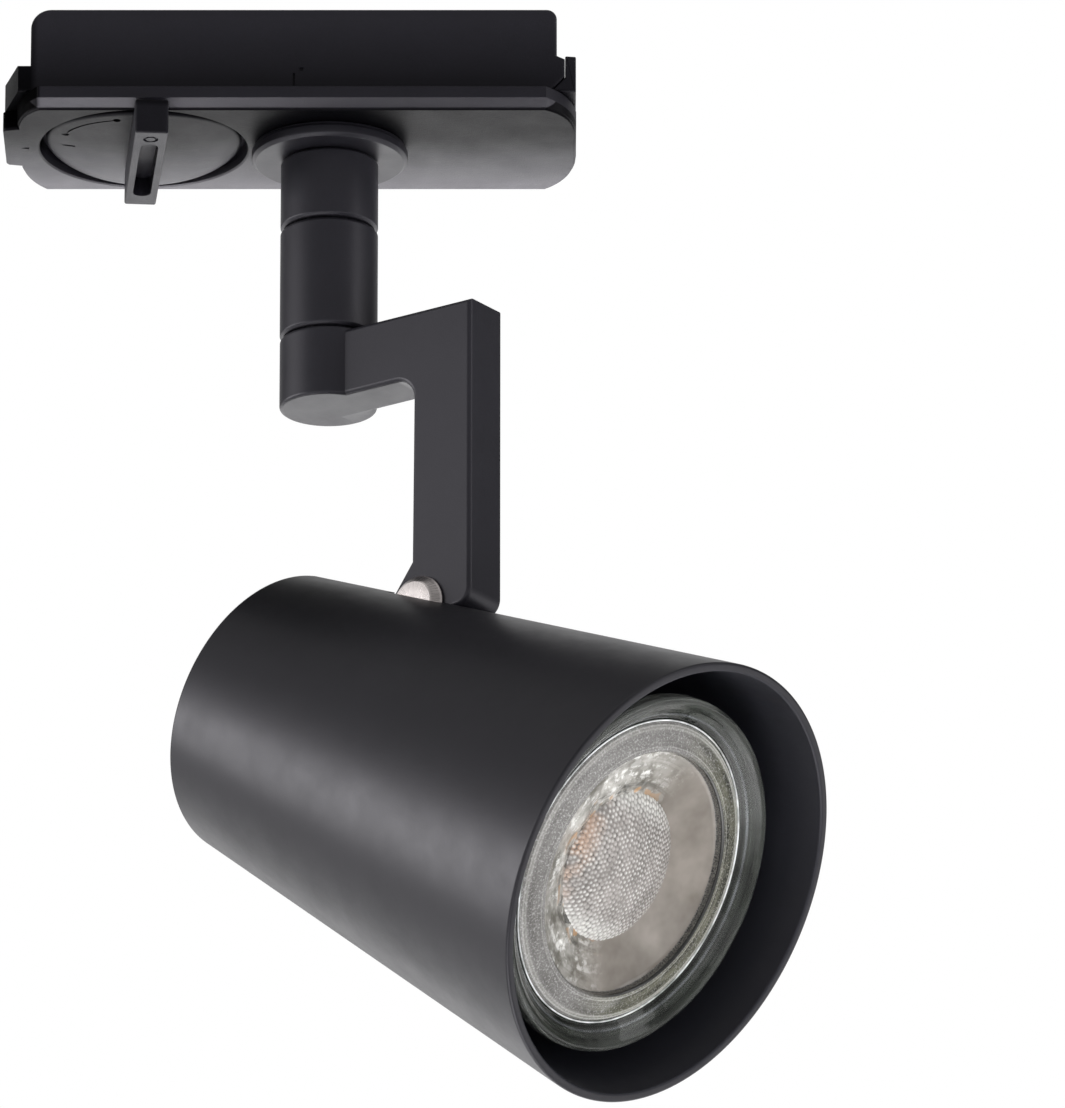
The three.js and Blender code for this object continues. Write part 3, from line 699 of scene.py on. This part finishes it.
# The last argument paints light and shade onto the housing, cover, dial, head and flange.
housing_black = coating("housing_black", *MOULDED, painted_light=housing_painted_light)
cover_black = coating("cover_black", *MOULDED, painted_light=cover_painted_light)
dial_black = coating("dial_black", *MOULDED, painted_light=dial_painted_light)
SATIN = ((0.0078, 0.0076, 0.0102), 0.40, 4200.0, 0.000012, 0.1)
head_black = coating("head_black", *SATIN, painted_light=head_painted_shade)
inner_black = coating("inner_black", (0.0125, 0.0130, 0.0175), 0.5, 4200.0, 0.00001)
CHARCOAL = ((0.0145, 0.0140, 0.0185), 0.40, 4600.0, 0.000014, 0.05)
charcoal = coating("charcoal_coat", *CHARCOAL)
flange_coat = coating("flange_coat", *CHARCOAL, painted_light=flange_painted_light)
nickel = turned_cap("turned_nickel", (0.90, 0.83, 0.81))
zinc = metal("zinc_steel", (0.60, 0.61, 0.63), 0.38, (1, 0.25, 1))
brass = metal("plain_brass", (0.72, 0.58, 0.28), 0.34, (0.3, 1, 1))
copper = metal("plain_copper", (0.72, 0.42, 0.27), 0.33, (0.3, 1, 1))
porcelain = ceramic("porcelain", (0.78, 0.77, 0.72))
solder_mask = ceramic("solder_mask", (0.86, 0.86, 0.83), 0.3)
phosphor = ceramic("phosphor_gel", (0.86, 0.62, 0.12), 0.25)
glass = clear_glass("pressed_glass")
optic = optic_floor("optic_floor")
frosted = optic_frosted("optic_frosted")
grained = optic_wall("optic_wall")
dimpled = optic_dimpled("optic_dimpled")
bright_edge = bead_glass("polished_edge")

# ------------------------------------------------------------------ adapter


def adapter_body():
    """An open box, with blade slots at the back, fine front marks and a slant-cornered foot."""
    left, right = 2.8, 1.4
    side = [(-40.4, BOX_FLOOR), (30.7, BOX_FLOOR), (32.8, -10.1), (32.8, -7.4), (BOX_RIGHT, -6.9)]
    side += arc(BOX_RIGHT - right, -right, right, 0, 90, 8)
    side += arc(BOX_LEFT + left, -left, left, 90, 180, 12)
    side += [(BOX_LEFT, -8.4), (BOX_FOOT, -8.4), (BOX_FOOT, BOX_FLOOR)]
    width = BOX_HALF_WIDTH
    obj = slab("adapter_housing", side, -width, width, 0.4, ACROSS)
    inside = width - 1.4
    below, front = BOX_FLOOR - 1.65, -width - 1
    tools = [block(-40.6, 29.4, -inside, inside, below, -1.5, ADAPTER)]
    for z in BLADE_LEVELS:
        tools.append(block(-36.6, -24, 11, -front, z - 0.75, z + 0.75, ADAPTER))
    # A fine groove and a dot low on the front, and a notch at its left end.
    tools.append(block(-4.95, -4.65, front, -12.6, below, -9.6, ADAPTER))
    tools.append(block(-4.05, -3.5, front, -12.7, -9.3, -8.75, ADAPTER))
    tools.append(block(-40.9, -38.2, front, -11, -13, -11.8, ADAPTER))
    for hand in (-1, 1):
        corner = [(-42.9, 13.7 * hand), (-46, 13.7 * hand), (-46, 2.4 * hand)]
        tools.append(slab("tool", corner, below, -7, 0, ADAPTER))
    shape(obj, "DIFFERENCE", *tools)
    settle(obj, "adapter", housing_black, "black_plastic", "adapter_body")


def adapter_end_piece():
    """The separate end moulding, stepped where it meets the housing."""
    side = [(30.85, -12.3), (34.35, -12.3), (34.35, -7.05), (32.85, -6.95), (32.85, -10.15)]
    obj = slab("adapter_end", rounded(side, 0.2, 3, True), -12.85, 12.85, 0.25, ACROSS)
    settle(obj, "adapter", housing_black, "black_plastic", "adapter_end_piece")


def mirrored(half):
    """Points on one side of the X axis, and then the same on its other side."""
    return half + [(x, -y) for x, y in half[::-1]]


def cover_outline():
    """Straight along both sides, with ends that curve in to a short straight edge."""
    w = COVER_HALF_WIDTH
    right = [(30.2, -w)] + bend((30.2, -w), (33.8, -12.4), (COVER_RIGHT, -6.4))
    left = [(-40.2, w)] + bend((-40.2, w), (-42.8, 12.8), (COVER_LEFT, 8))
    return anticlockwise(mirrored(right) + mirrored(left))


def adapter_cover():
    """A plate with a bevel and a fine step along its front edge, fading out at the ends."""
    # (level, how far in along the front edge, how far in at the ends)
    levels = [
        (COVER_TOP, 0.15, 0.1), (-12.78, 0, 0), (-14.3, 0, 0), (-14.42, 0.08, 0.02),
        (-15.27, 1.5, 0.14), (-15.29, 1.55, 0.2), (-15.31, 1.6, 0.24), (-15.6, 1.64, 0.34),
        (COVER_FACE, 1.7, 0.42),
    ]
    rings = []
    for z, long_edge, end in levels:
        ring = []
        for x, y in cover_outline():
            near = max(0.0, min(1.0, (abs(y) - 8) / 7.9)) ** 2
            ring.append((
                x - math.copysign(end, x) * (1 - 0.6 * near),
                y + long_edge * near * (1 if y < 0 else -0.2),
            ))
        rings.append((z, ring))
    obj = loft("adapter_cover_plate", rings, ADAPTER)
    tongue = mirrored([(-42, -6.9), (COVER_LEFT, -6.9), (-45.1, -6.5), (COVER_TONGUE, -6.0)])
    tongue = rounded(tongue, 0.3, 4, True)
    shape(obj, "UNION", slab("tool", tongue, -15.6, COVER_TOP, 0.2, ADAPTER))
    below, above, edge = -17, -12, 0.2
    hole = lathe("tool", [
        (0, below), (DIAL_HOLE_R + edge, below), (DIAL_HOLE_R + edge, COVER_FACE),
        (DIAL_HOLE_R, COVER_FACE + edge), (DIAL_HOLE_R, DIAL_RECESS),
        (STUD_HOLE_R, DIAL_RECESS), (STUD_HOLE_R, above), (0, above),
    ], DIAL, 192)
    mark = slab("tool", [(-43.2, 0), (-42, -0.35), (-42, 0.35)], below, -15.5, 0, ADAPTER)
    shape(obj, "DIFFERENCE", hole, drum(STUD_HOLE_R, below, above, ADAPTER), mark)
    settle(obj, "adapter", cover_black, "black_plastic", "adapter_cover")


def lock_dial():
    """The disc is bowed across the lever: highest along it, sunk at its two sides."""
    face = [(0, -15.9), (4.5, -15.88), (8.5, -15.86), (11.5, -15.84), (13.2, -15.8)]
    back = -13.35
    disc = [(13.5, -15.72), (13.62, -15.6), (DIAL_R, -15.45), (DIAL_R, back), (SPINDLE_R, back)]
    disc += [(SPINDLE_R, -2.7), (3.7, -2.4), (0, -2.4)]
    fine = [face[0]]
    for (r0, z0), (r1, z1) in zip(face, face[1:]):
        fine += [(r0 + (r1 - r0) * i / 6, z0 + (z1 - z0) * i / 6) for i in range(1, 7)]
    obj = lathe("dial_disc", fine + disc, DIAL, 192)
    face_level, sink, radius = -0.0152, 0.0013, DIAL_R * 0.001
    for point in obj.data.vertices:
        if point.co.z < face_level:
            point.co.z += sink * (point.co.x / radius) ** 2

    turned = DIAL @ Matrix.Rotation(LEVER_ANGLE, 4, "Z")
    handle = [(-2.3, -LEVER_LONG), (2.3, -LEVER_LONG), (2.2, LEVER_SHORT), (-2.2, LEVER_SHORT)]
    lever = slab("tool", rounded(handle, 0.35, 4, True), LEVER_BOTTOM, -15.95, 0.28, turned)
    root = block(-2.0, 2.0, -12.4, 7.6, -16.4, -14.6, turned)
    shape(obj, "UNION", lever, root)

    # The lever's pocket and ring mark, then the disc's bar, arc and two dots.
    below = LEVER_BOTTOM - 1
    pocket = arc(0, -13.75, 1.25, 180, 360, 12) + arc(0, 3.25, 1.25, 0, 180, 12)
    cuts = [slab("tool", pocket, below, -18.2, 0, turned)]
    ring = [(0.65, below), (1.05, below), (1.05, -20.7), (0.65, -20.7), (0.65, below)]
    cuts.append(lathe("tool", ring, turned @ shift(0, -16.9, 0), 48))
    under, over = -17, -14.9
    cuts.append(block(-11.9, -9.6, -0.22, 0.22, under, over, DIAL))
    first, last, radius, half = -159, -107, 11.6, 0.14
    sweep = arc(0, 0, radius + half, first, last, 40) + arc(0, 0, radius - half, last, first, 40)
    cuts.append(slab("tool", sweep, under, over, 0, DIAL))
    for angle in (first, last):
        x, y = arc(0, 0, radius, angle, angle, 1)[0]
        cuts.append(drum(0.55, under, over, DIAL @ shift(x, y, 0), 24))
    shape(obj, "DIFFERENCE", *cuts)
    settle(obj, "dial", dial_black, "black_plastic", "lock_dial")


# ------------------------------------------------------------------ stem and bracket


def stem():
    """A shallow flange under the cover, and two tubes with a fine gap at each seam."""
    bore = STUD_HOLE_R
    flange = [(bore, -17.8), (7.6, -17.86), (10.4, -17.92), (FLANGE_R, -17.5), (FLANGE_R, -16.35)]
    flange += [(FLANGE_R - 0.3, -16.15), (FLANGE_R - 0.3, -15.75), (bore, -15.75)]
    ring = rounded(flange, 0.3, 4, True)
    obj = lathe("stem_flange_ring", ring + ring[:1], ADAPTER, 160)
    settle(obj, "adapter", flange_coat, "charcoal", "stem_flange")
    tubes = [
        ("stem_collar_tube", "stem_collar", -28.15, -18.0),
        ("stem_sleeve_tube", "stem_sleeve", -44.3, -28.45),
    ]
    edge = 0.4
    for name, node, low, high in tubes:
        outer = [(STEM_BORE_R, low), (STEM_R - edge, low), (STEM_R, low + edge)]
        outer += [(STEM_R, high - edge), (STEM_R - edge, high), (STEM_BORE_R, high)]
        ring = rounded(outer, 0.3, 4, True)
        obj = lathe(name, ring + ring[:1], ADAPTER, 160)
        settle(obj, "adapter", charcoal, "charcoal", node)


def arm_outline():
    """From the knuckle along, down to the round foot and up the front again."""
    elbow, corner = 3, 2.6
    outline = [(0, 0), (14.15, 0)] + arc(14.15, -elbow, elbow, 90, 0, 12)[1:]
    outline += [(16.95, -26.9)]
    outline += arc(PIVOT_X, PIVOT_Z, 5.0, 144.4, 345, 40)
    outline += arc(ARM_FRONT - corner, -32.2, corner, -90, 0, 12)
    outline += [(ARM_FRONT, ARM_TOP), (0, ARM_TOP)]
    return outline


def swing_arm():
    """A casting with its knuckle, less the socket, stop-pin hole, fork and screw hole."""
    half = ARM_HALF
    obj = slab("swing_arm_casting", arm_outline(), -half, half, 0.62, BRACKET @ ACROSS, 6)
    knuckle = [(0, 0), (KNUCKLE_R, 0), (KNUCKLE_R, KNUCKLE_HEIGHT), (0, KNUCKLE_HEIGHT)]
    shape(obj, "UNION", lathe("tool", rounded(knuckle, 0.5, 6), BRACKET, 160))
    bore, groove = 5.3, 5.8
    socket = [(0, 2), (bore, 2), (bore, 6.2), (groove, 6.2), (groove, 7.8), (bore, 7.8)]
    socket += [(bore, 12), (0, 12)]
    cuts = [lathe("tool", socket, BRACKET, 96), drum(0.75, 1, 3, BRACKET @ shift(3.9, 0, 0), 24)]
    cuts.append(block(-8, 4.4, -FORK_HALF_GAP, FORK_HALF_GAP, -8, 5, PIVOT))
    cuts.append(drum(SCREW_R + 0.08, -9, 9, PIVOT @ ACROSS, 64))
    shape(obj, "DIFFERENCE", *cuts)
    settle(obj, "bracket", charcoal, "charcoal", "swing_arm", angle=28)


def pivot_screw():
    """The shank and its cap: a flat face with a conical side and a thin brim."""
    seat, rim, edge = ARM_HALF + 0.1, 4.15, 0.3
    face = seat + 1.6
    profile = [(0, -7), (SCREW_R - edge, -7), (SCREW_R, -7 + edge), (SCREW_R, seat)]
    profile += [(rim, seat), (rim, seat + edge), (3.22, seat + 1.42), (3.0, face), (1.6, face)]
    profile += [(0, face)]
    obj = lathe("pivot_screw_cap", rounded(profile, 0.1, 3), PIVOT @ ACROSS, 96)
    settle(obj, "bracket", nickel, "silver", "pivot_screw")


# ------------------------------------------------------------------ head


def head_shell():
    """A conical shell, slotted at the rear for the foot, with its own finish inside."""
    slope = (HEAD_FRONT_R - HEAD_REAR_R) / HEAD_LENGTH
    mouth = HEAD_REAR_R + slope * HEAD_LENGTH
    outer = [(HEAD_REAR_R - HEAD_WALL, 0), (HEAD_REAR_R, 0), (mouth, HEAD_LENGTH)]
    outer += [(mouth - HEAD_WALL, HEAD_LENGTH)]
    ring = rounded(outer, 0.42, 6, True)
    obj = lathe("head_cone", ring + ring[:1], HEAD, 256)
    slot_end, half = PIVOT_FROM_REAR + SLOT_FRONT, SLOT_HALF_WIDTH
    slot = mirrored([(-2, -half), (slot_end, -half)])
    along = HEAD @ Matrix.Rotation(-math.pi / 2, 4, "Y")
    arm_slot = slab("tool", rounded(slot, 1.2, 6, True), 14, 40, 0, along)
    pocket = drum(4.65, -7.2, 5.95, PIVOT @ ACROSS)
    shape(obj, "DIFFERENCE", arm_slot, pocket)
    settle(obj, "head", head_black, "satin_black", "head_shell")
    obj.data.materials.append(inner_black)
    for face in obj.data.polygons:
        out = Vector((face.center.x, face.center.y, 0))
        if face.normal.dot(out) < 0 and out.length < (mouth - 1.0) * 0.001:
            face.material_index = 1


def rear_cap():
    """The disc in the head's rear, a little sunk."""
    r = HEAD_REAR_R - HEAD_WALL - 0.3
    profile = [(0, 1.3), (r - 2, 1.3), (r - 1.5, 0.9), (r, 0.9), (r, 2.9), (0, 2.9)]
    obj = lathe("head_rear_disc", rounded(profile, 0.2, 3), HEAD, 160)
    settle(obj, "head", head_black, "satin_black", "rear_cap")


# ------------------------------------------------------------------ lamp


def lamp_cup():
    """The glass: a wall round the core, and a rim with a rounded front edge."""
    f = LAMP_FACE
    profile = [
        (11, 36), (12.3, 36), (15.9, 45), (20.4, 55.5), (23.8, f - 4.6), (24.7, f - 3.2),
        (LAMP_R, f - 2.2), (LAMP_R, f - 0.8), (24.8, f - 0.25), (24.35, f), (23.9, f - 0.2),
        (23.2, f - 0.85), (22.3, f - 1.45), (21.5, f - 2.1), (21.45, f - 3.4),
        (22.3, f - 4.8), (19, 55.8), (14.6, 45.4),
    ]
    ring = rounded(profile, 0.5, 4, True)
    obj = lathe("lamp_glass", ring + ring[:1], LAMP, 192)
    settle(obj, "lamp", glass, "glass", "lamp_cup", angle=60)


def lens_height(r, turn):
    """Front of the optic: flange, wall, sunk floor with soft flutes around the dome."""
    f = LAMP_FACE
    points = [
        (LENS_R, f - 3.4), (21.2, f - 2.25), (20.95, f - 1.85), (20.4, f - 1.62),
        (17.7, f - 0.98), (17.4, f - 0.95), (17.2, f - 1.1), (LENS_WALL[0], f - 1.35),
        (17.0, f - 2.1), (16.65, f - 2.35), (DOME_R, f - 4.35), (10.3, f - 4.4),
    ]
    for (r1, z1), (r0, z0) in zip(points, points[1:]):
        if r >= r0:
            z = z0 + (z1 - z0) * (r - r0) / (r1 - r0)
            break
    else:
        z = points[-1][1]
    flutes_at, flutes_wide = 12.2, 1.5
    flute = math.exp(-(((r - flutes_at) / flutes_wide) ** 2))
    # The flutes are deeper on the side that is painted as lit.
    clear = lit_side(turn)
    ridges = 0.30 * abs(math.sin(4.5 * turn + 0.6)) + 0.16 * math.sin(13 * turn + 1.0)
    return z + flute * (0.12 + 0.88 * clear) * ridges


def lit_side(turn):
    """1 on the side of the optic that is painted as lit, 0 on its other side, painted plainer."""
    side = math.cos(turn - math.radians(90))
    return max(0.0, min(1.0, 0.5 - 1.1 * side))


def lens_ring():
    """The optic round its dome, with a row of points wherever its height changes direction."""
    radii = [LENS_R, 21.22, 21.2, 21.1, 20.95, 20.7, 20.4, 19.9, 19.2, 18.5, 17.9, 17.7, 17.55]
    radii += [17.4, 17.3, 17.2, 17.15, 17.1, 17.07, 17.04, 17.0, 16.97, 16.95, 16.85]
    radii += [16.6 - 0.16 * i for i in range(40)]
    turns = 384
    verts, faces = [], []
    for r in radii:
        for k in range(turns):
            a = 2 * math.pi * k / turns
            verts.append((r * math.cos(a), r * math.sin(a), lens_height(r, a)))
    for i in range(len(radii) - 1):
        for k in range(turns):
            m = (k + 1) % turns
            low, high = i * turns, (i + 1) * turns
            faces.append([low + k, low + m, high + m, high + k])
    obj = mesh_object("optic_ring", verts, faces, LAMP)
    # Stores the lit-side mask that the optic's materials use for their painted light.
    paint(obj, "lit_side", lambda x, y: lit_side(math.atan2(y, x)))
    settle(obj, "lamp", optic, "glass", angle=60)
    obj.data.materials.append(frosted)
    obj.data.materials.append(grained)
    wall_outside, wall_inside = LENS_WALL
    for face in obj.data.polygons:
        r = math.hypot(face.center.x, face.center.y)
        if r > wall_inside * 0.001:
            face.material_index = 1 if r > wall_outside * 0.001 else 2


def lens_rim():
    """A thin polished bead round the optic, where it meets the glass."""
    radius = 0.13
    turns = [math.pi * i / 6 for i in range(12)]
    across, up = LENS_R + 0.05, LAMP_FACE - 2.05
    bead = [(across + radius * math.cos(a), up + radius * math.sin(a)) for a in turns]
    rim = lathe("optic_rim", bead + bead[:1], LAMP, 192)
    settle(rim, "lamp", bright_edge, "glass", angle=80)


def lens_dome():
    """A low dome on a fine square grid, dimpled in a roughly hexagonal pattern."""
    foot, rise, dimple = LAMP_FACE - 4.5, 2.6, 0.16
    step = 0.09
    span = int(DOME_R / step) + 1
    verts, faces, lookup = [], [], {}
    for i in range(-span, span + 1):
        for k in range(-span, span + 1):
            x, y = i * step, k * step
            r = math.hypot(x, y)
            if r > DOME_R:
                continue
            height = foot + rise * (1 - (r / DOME_R) ** 2) ** 0.7
            height -= dimple * cell_edge(x, y)
            lookup[i, k] = len(verts)
            verts.append((x, y, height))
    for i, k in list(lookup):
        corners = [(i, k), (i + 1, k), (i + 1, k + 1), (i, k + 1)]
        if all(c in lookup for c in corners):
            faces.append([lookup[c] for c in corners])
    obj = mesh_object("optic_dome", verts, faces, LAMP)
    paint(obj, "cell", cell_edge)
    settle(obj, "lamp", dimpled, "glass", "lamp_lens", angle=80)


def paint(obj, name, value):
    """Stores a number on every point, for the optic's materials."""
    store = obj.data.attributes.new(name, "FLOAT", "POINT")
    for point in obj.data.vertices:
        store.data[point.index].value = value(point.co.x * 1000, point.co.y * 1000)


def cell_edge(x, y):
    """0 at the middle of a roughly hexagonal cell, rising to 1 at its edge."""
    pitch = DIMPLE_PITCH
    row = pitch * math.sqrt(3) / 2
    j = round(y / row)
    best = 1e9
    for jj in (j - 1, j, j + 1):
        offset = pitch / 2 if jj % 2 else 0.0
        i = round((x - offset) / pitch)
        for ii in (i - 1, i, i + 1):
            off_x = 0.1 * math.sin(ii * 12.9 + jj * 78.2)
            off_y = 0.1 * math.sin(ii * 39.3 + jj * 11.1)
            across = x - ii * pitch - offset - off_x
            best = min(best, math.hypot(across, y - jj * row - off_y))
    return min(1.0, (best / (pitch * 0.56)) ** 2)


# ------------------------------------------------------------------ carried-over CAD nodes


def smooth_group():
    """Joins split corners and shades curved sides smoothly, leaving real edges sharp."""
    group = bpy.data.node_groups.new("smooth_by_angle", "GeometryNodeTree")
    group.interface.new_socket("Geometry", in_out="INPUT", socket_type="NodeSocketGeometry")
    group.interface.new_socket("Geometry", in_out="OUTPUT", socket_type="NodeSocketGeometry")
    t = Tree(group)
    start, end = t.add("NodeGroupInput"), t.add("NodeGroupOutput")
    values = {"Geometry": start.outputs[0], "Name": "custom_normal"}
    drop = t.add("GeometryNodeRemoveAttribute", values)
    values = {"Geometry": drop.outputs["Geometry"], "Distance": 2e-6}
    merge = t.add("GeometryNodeMergeByDistance", values)
    angle = t.add("GeometryNodeInputMeshEdgeAngle").outputs["Unsigned Angle"]
    values = {0: angle, 1: math.radians(32)}
    curved = t.add("FunctionNodeCompare", values, operation="LESS_THAN").outputs["Result"]
    values = {"Geometry": merge.outputs["Geometry"]}
    faces = t.add("GeometryNodeSetShadeSmooth", values, domain="FACE")
    values = {"Geometry": faces.outputs["Geometry"], "Shade Smooth": curved}
    edges = t.add("GeometryNodeSetShadeSmooth", values, domain="EDGE")
    t.put(end.inputs[0], edges.outputs["Geometry"])
    return group


def carried_over():
    """Materials and smooth shading for the CAD nodes that are shown as they come in model.glb."""
    finishes = {
        zinc: ["dial_bearing", "stem_tube", "stem_nut", "swivel_ring", "stop_pin", "pivot_nut",
               "friction_washer_a", "friction_washer_b", "holder_bridge", "holder_screw_a",
               "holder_screw_b", "lamp_pin_a", "lamp_pin_b"],
        brass: ["terminal_screw_live", "terminal_screw_neutral"],
        copper: ["contact_live", "contact_neutral"],
        porcelain: ["terminal_block", "contact_carrier", "lampholder", "lamp_core", "lamp_base"],
        solder_mask: ["led_board"],
        phosphor: ["led_chip"],
    }
    group = smooth_group()
    for material, names in finishes.items():
        for name in names:
            node = NODES[name]
            node.data.materials.clear()
            node.data.materials.append(material)
            node.modifiers.new("smooth", "NODES").node_group = group


# ------------------------------------------------------------------ studio

FLOOR_LEVEL = -1.6  # metres, far below, as the fixture hangs


def surroundings():
    """White behind the object, and soft glows around it that light it and show in the gloss."""
    scene = bpy.context.scene
    scene.view_settings.view_transform = "Standard"
    scene.view_settings.look = "None"
    world = bpy.data.worlds.new("studio")
    scene.world = world
    world.use_nodes = True
    t = Tree(world.node_tree)
    white = (1, 1, 1, 1)

    def ramp(value, start, end, low, high):
        """low where the value is at start, high where it is at end, with soft turns."""
        values = {0: value, 1: start, 2: end, 3: low, 4: high}
        return t.add("ShaderNodeMapRange", values, interpolation_type="SMOOTHSTEP").outputs[0]

    # y is the direction away from the camera, and z is up.
    coords = t.add("ShaderNodeTexCoord").outputs["Generated"]
    _, y, z = t.add("ShaderNodeSeparateXYZ", {0: coords}).outputs
    glows = [
        (ramp(y, -0.7, -0.1, 0.27, 0.5), ramp(y, -0.05, 0.4, 1.0, 0.12)),  # in front and beside
        (ramp(z, -0.22, 0.08, 1.2, 0.0), ramp(y, -0.3, 0.6, 0.4, 1.0)),  # below
        (ramp(y, 0.62, 0.97, 0.0, 0.42), 1.0),  # behind
        (ramp(y, 0.86, 0.96, 0.0, 0.75), ramp(z, -0.05, 0.12, 1.0, 0.0)),  # low behind
        (ramp(y, 0.5, 0.75, 0.0, 0.6), ramp(z, 0.3, 0.6, 0.0, 1.0)),  # high behind
    ]
    fill = 0.0
    for one_way, other_way in glows:
        fill = t.calculate("ADD", fill, t.calculate("MULTIPLY", one_way, other_way))
    seen = t.add("ShaderNodeLightPath").outputs["Is Camera Ray"]
    soft = t.tree.nodes["Background"]
    t.put(soft.inputs["Color"], white)
    t.put(soft.inputs["Strength"], fill)
    plain = t.add("ShaderNodeBackground", {"Color": white})
    mix = t.add("ShaderNodeMixShader", {0: seen, 1: soft.outputs[0], 2: plain.outputs[0]})
    t.put(t.tree.nodes["World Output"].inputs["Surface"], mix.outputs[0])


def floor_disc():
    """A plain pale floor."""
    floor = bpy.data.meshes.new("floor")
    bm = bmesh.new()
    bmesh.ops.create_circle(bm, cap_ends=True, radius=3.0, segments=96)
    bm.to_mesh(floor)
    bm.free()
    ground = bpy.data.objects.new("floor", floor)
    ground.location.z = FLOOR_LEVEL
    bpy.context.scene.collection.objects.link(ground)
    n = Nodes("pale_floor")
    n.join(
        Base_Color=n.blend(n.noise(3.0), (0.80, 0.80, 0.80, 1), (0.84, 0.84, 0.84, 1)),
        Roughness=0.7,
    )
    floor.materials.append(n.material)


def soft_boxes():
    """Area lights: three near the object, and one that lights the floor."""
    # (name, place, width, height, watts, seen in reflections, what it points at)
    middle = (0.01, -0.02, -0.09)
    lights = [
        ("left_box", (-1.25, -0.11, 0.0), 1.2, 0.4, 7.6, True, middle),
        ("lamp_box", (1.0, -0.75, -0.65), 0.7, 0.7, 9.0, False, middle),
        ("right_box", (1.17, -0.43, 0.35), 0.4, 0.8, 1.1, True, middle),
        ("floor_box", (0.0, 0.1, -0.6), 1.0, 1.0, 46.0, False, (0.0, 0.1, FLOOR_LEVEL)),
    ]
    for name, place, width, height, power, glossy, aim in lights:
        data = bpy.data.lights.new(name, "AREA")
        data.shape = "RECTANGLE"
        data.size = width
        data.size_y = height
        data.energy = power
        lamp = bpy.data.objects.new(name, data)
        lamp.location = place
        lamp.rotation_mode = "QUATERNION"
        lamp.rotation_quaternion = (Vector(aim) - Vector(place)).to_track_quat("-Z", "Y")
        lamp.visible_camera = False
        lamp.visible_glossy = glossy
        bpy.context.scene.collection.objects.link(lamp)


def photo_camera():
    """A long lens, level from side to side, that looks up at the fixture from in front."""
    look_up = math.radians(19.771)
    data = bpy.data.cameras.new("camera")
    data.lens = 389.9
    data.sensor_width = 36
    data.clip_start = 0.05
    data.clip_end = 20
    camera = bpy.data.objects.new("camera", data)
    camera.location = (0.028317, -1.5582, -0.63597)
    camera.rotation_euler = (math.pi / 2 + look_up, 0, 0)
    bpy.context.scene.collection.objects.link(camera)
    bpy.context.scene.camera = camera


surroundings()
floor_disc()
soft_boxes()
photo_camera()
adapter_body()
adapter_end_piece()
adapter_cover()
lock_dial()
stem()
swing_arm()
pivot_screw()
head_shell()
rear_cap()
lamp_cup()
lens_ring()
lens_rim()
lens_dome()
carried_over()
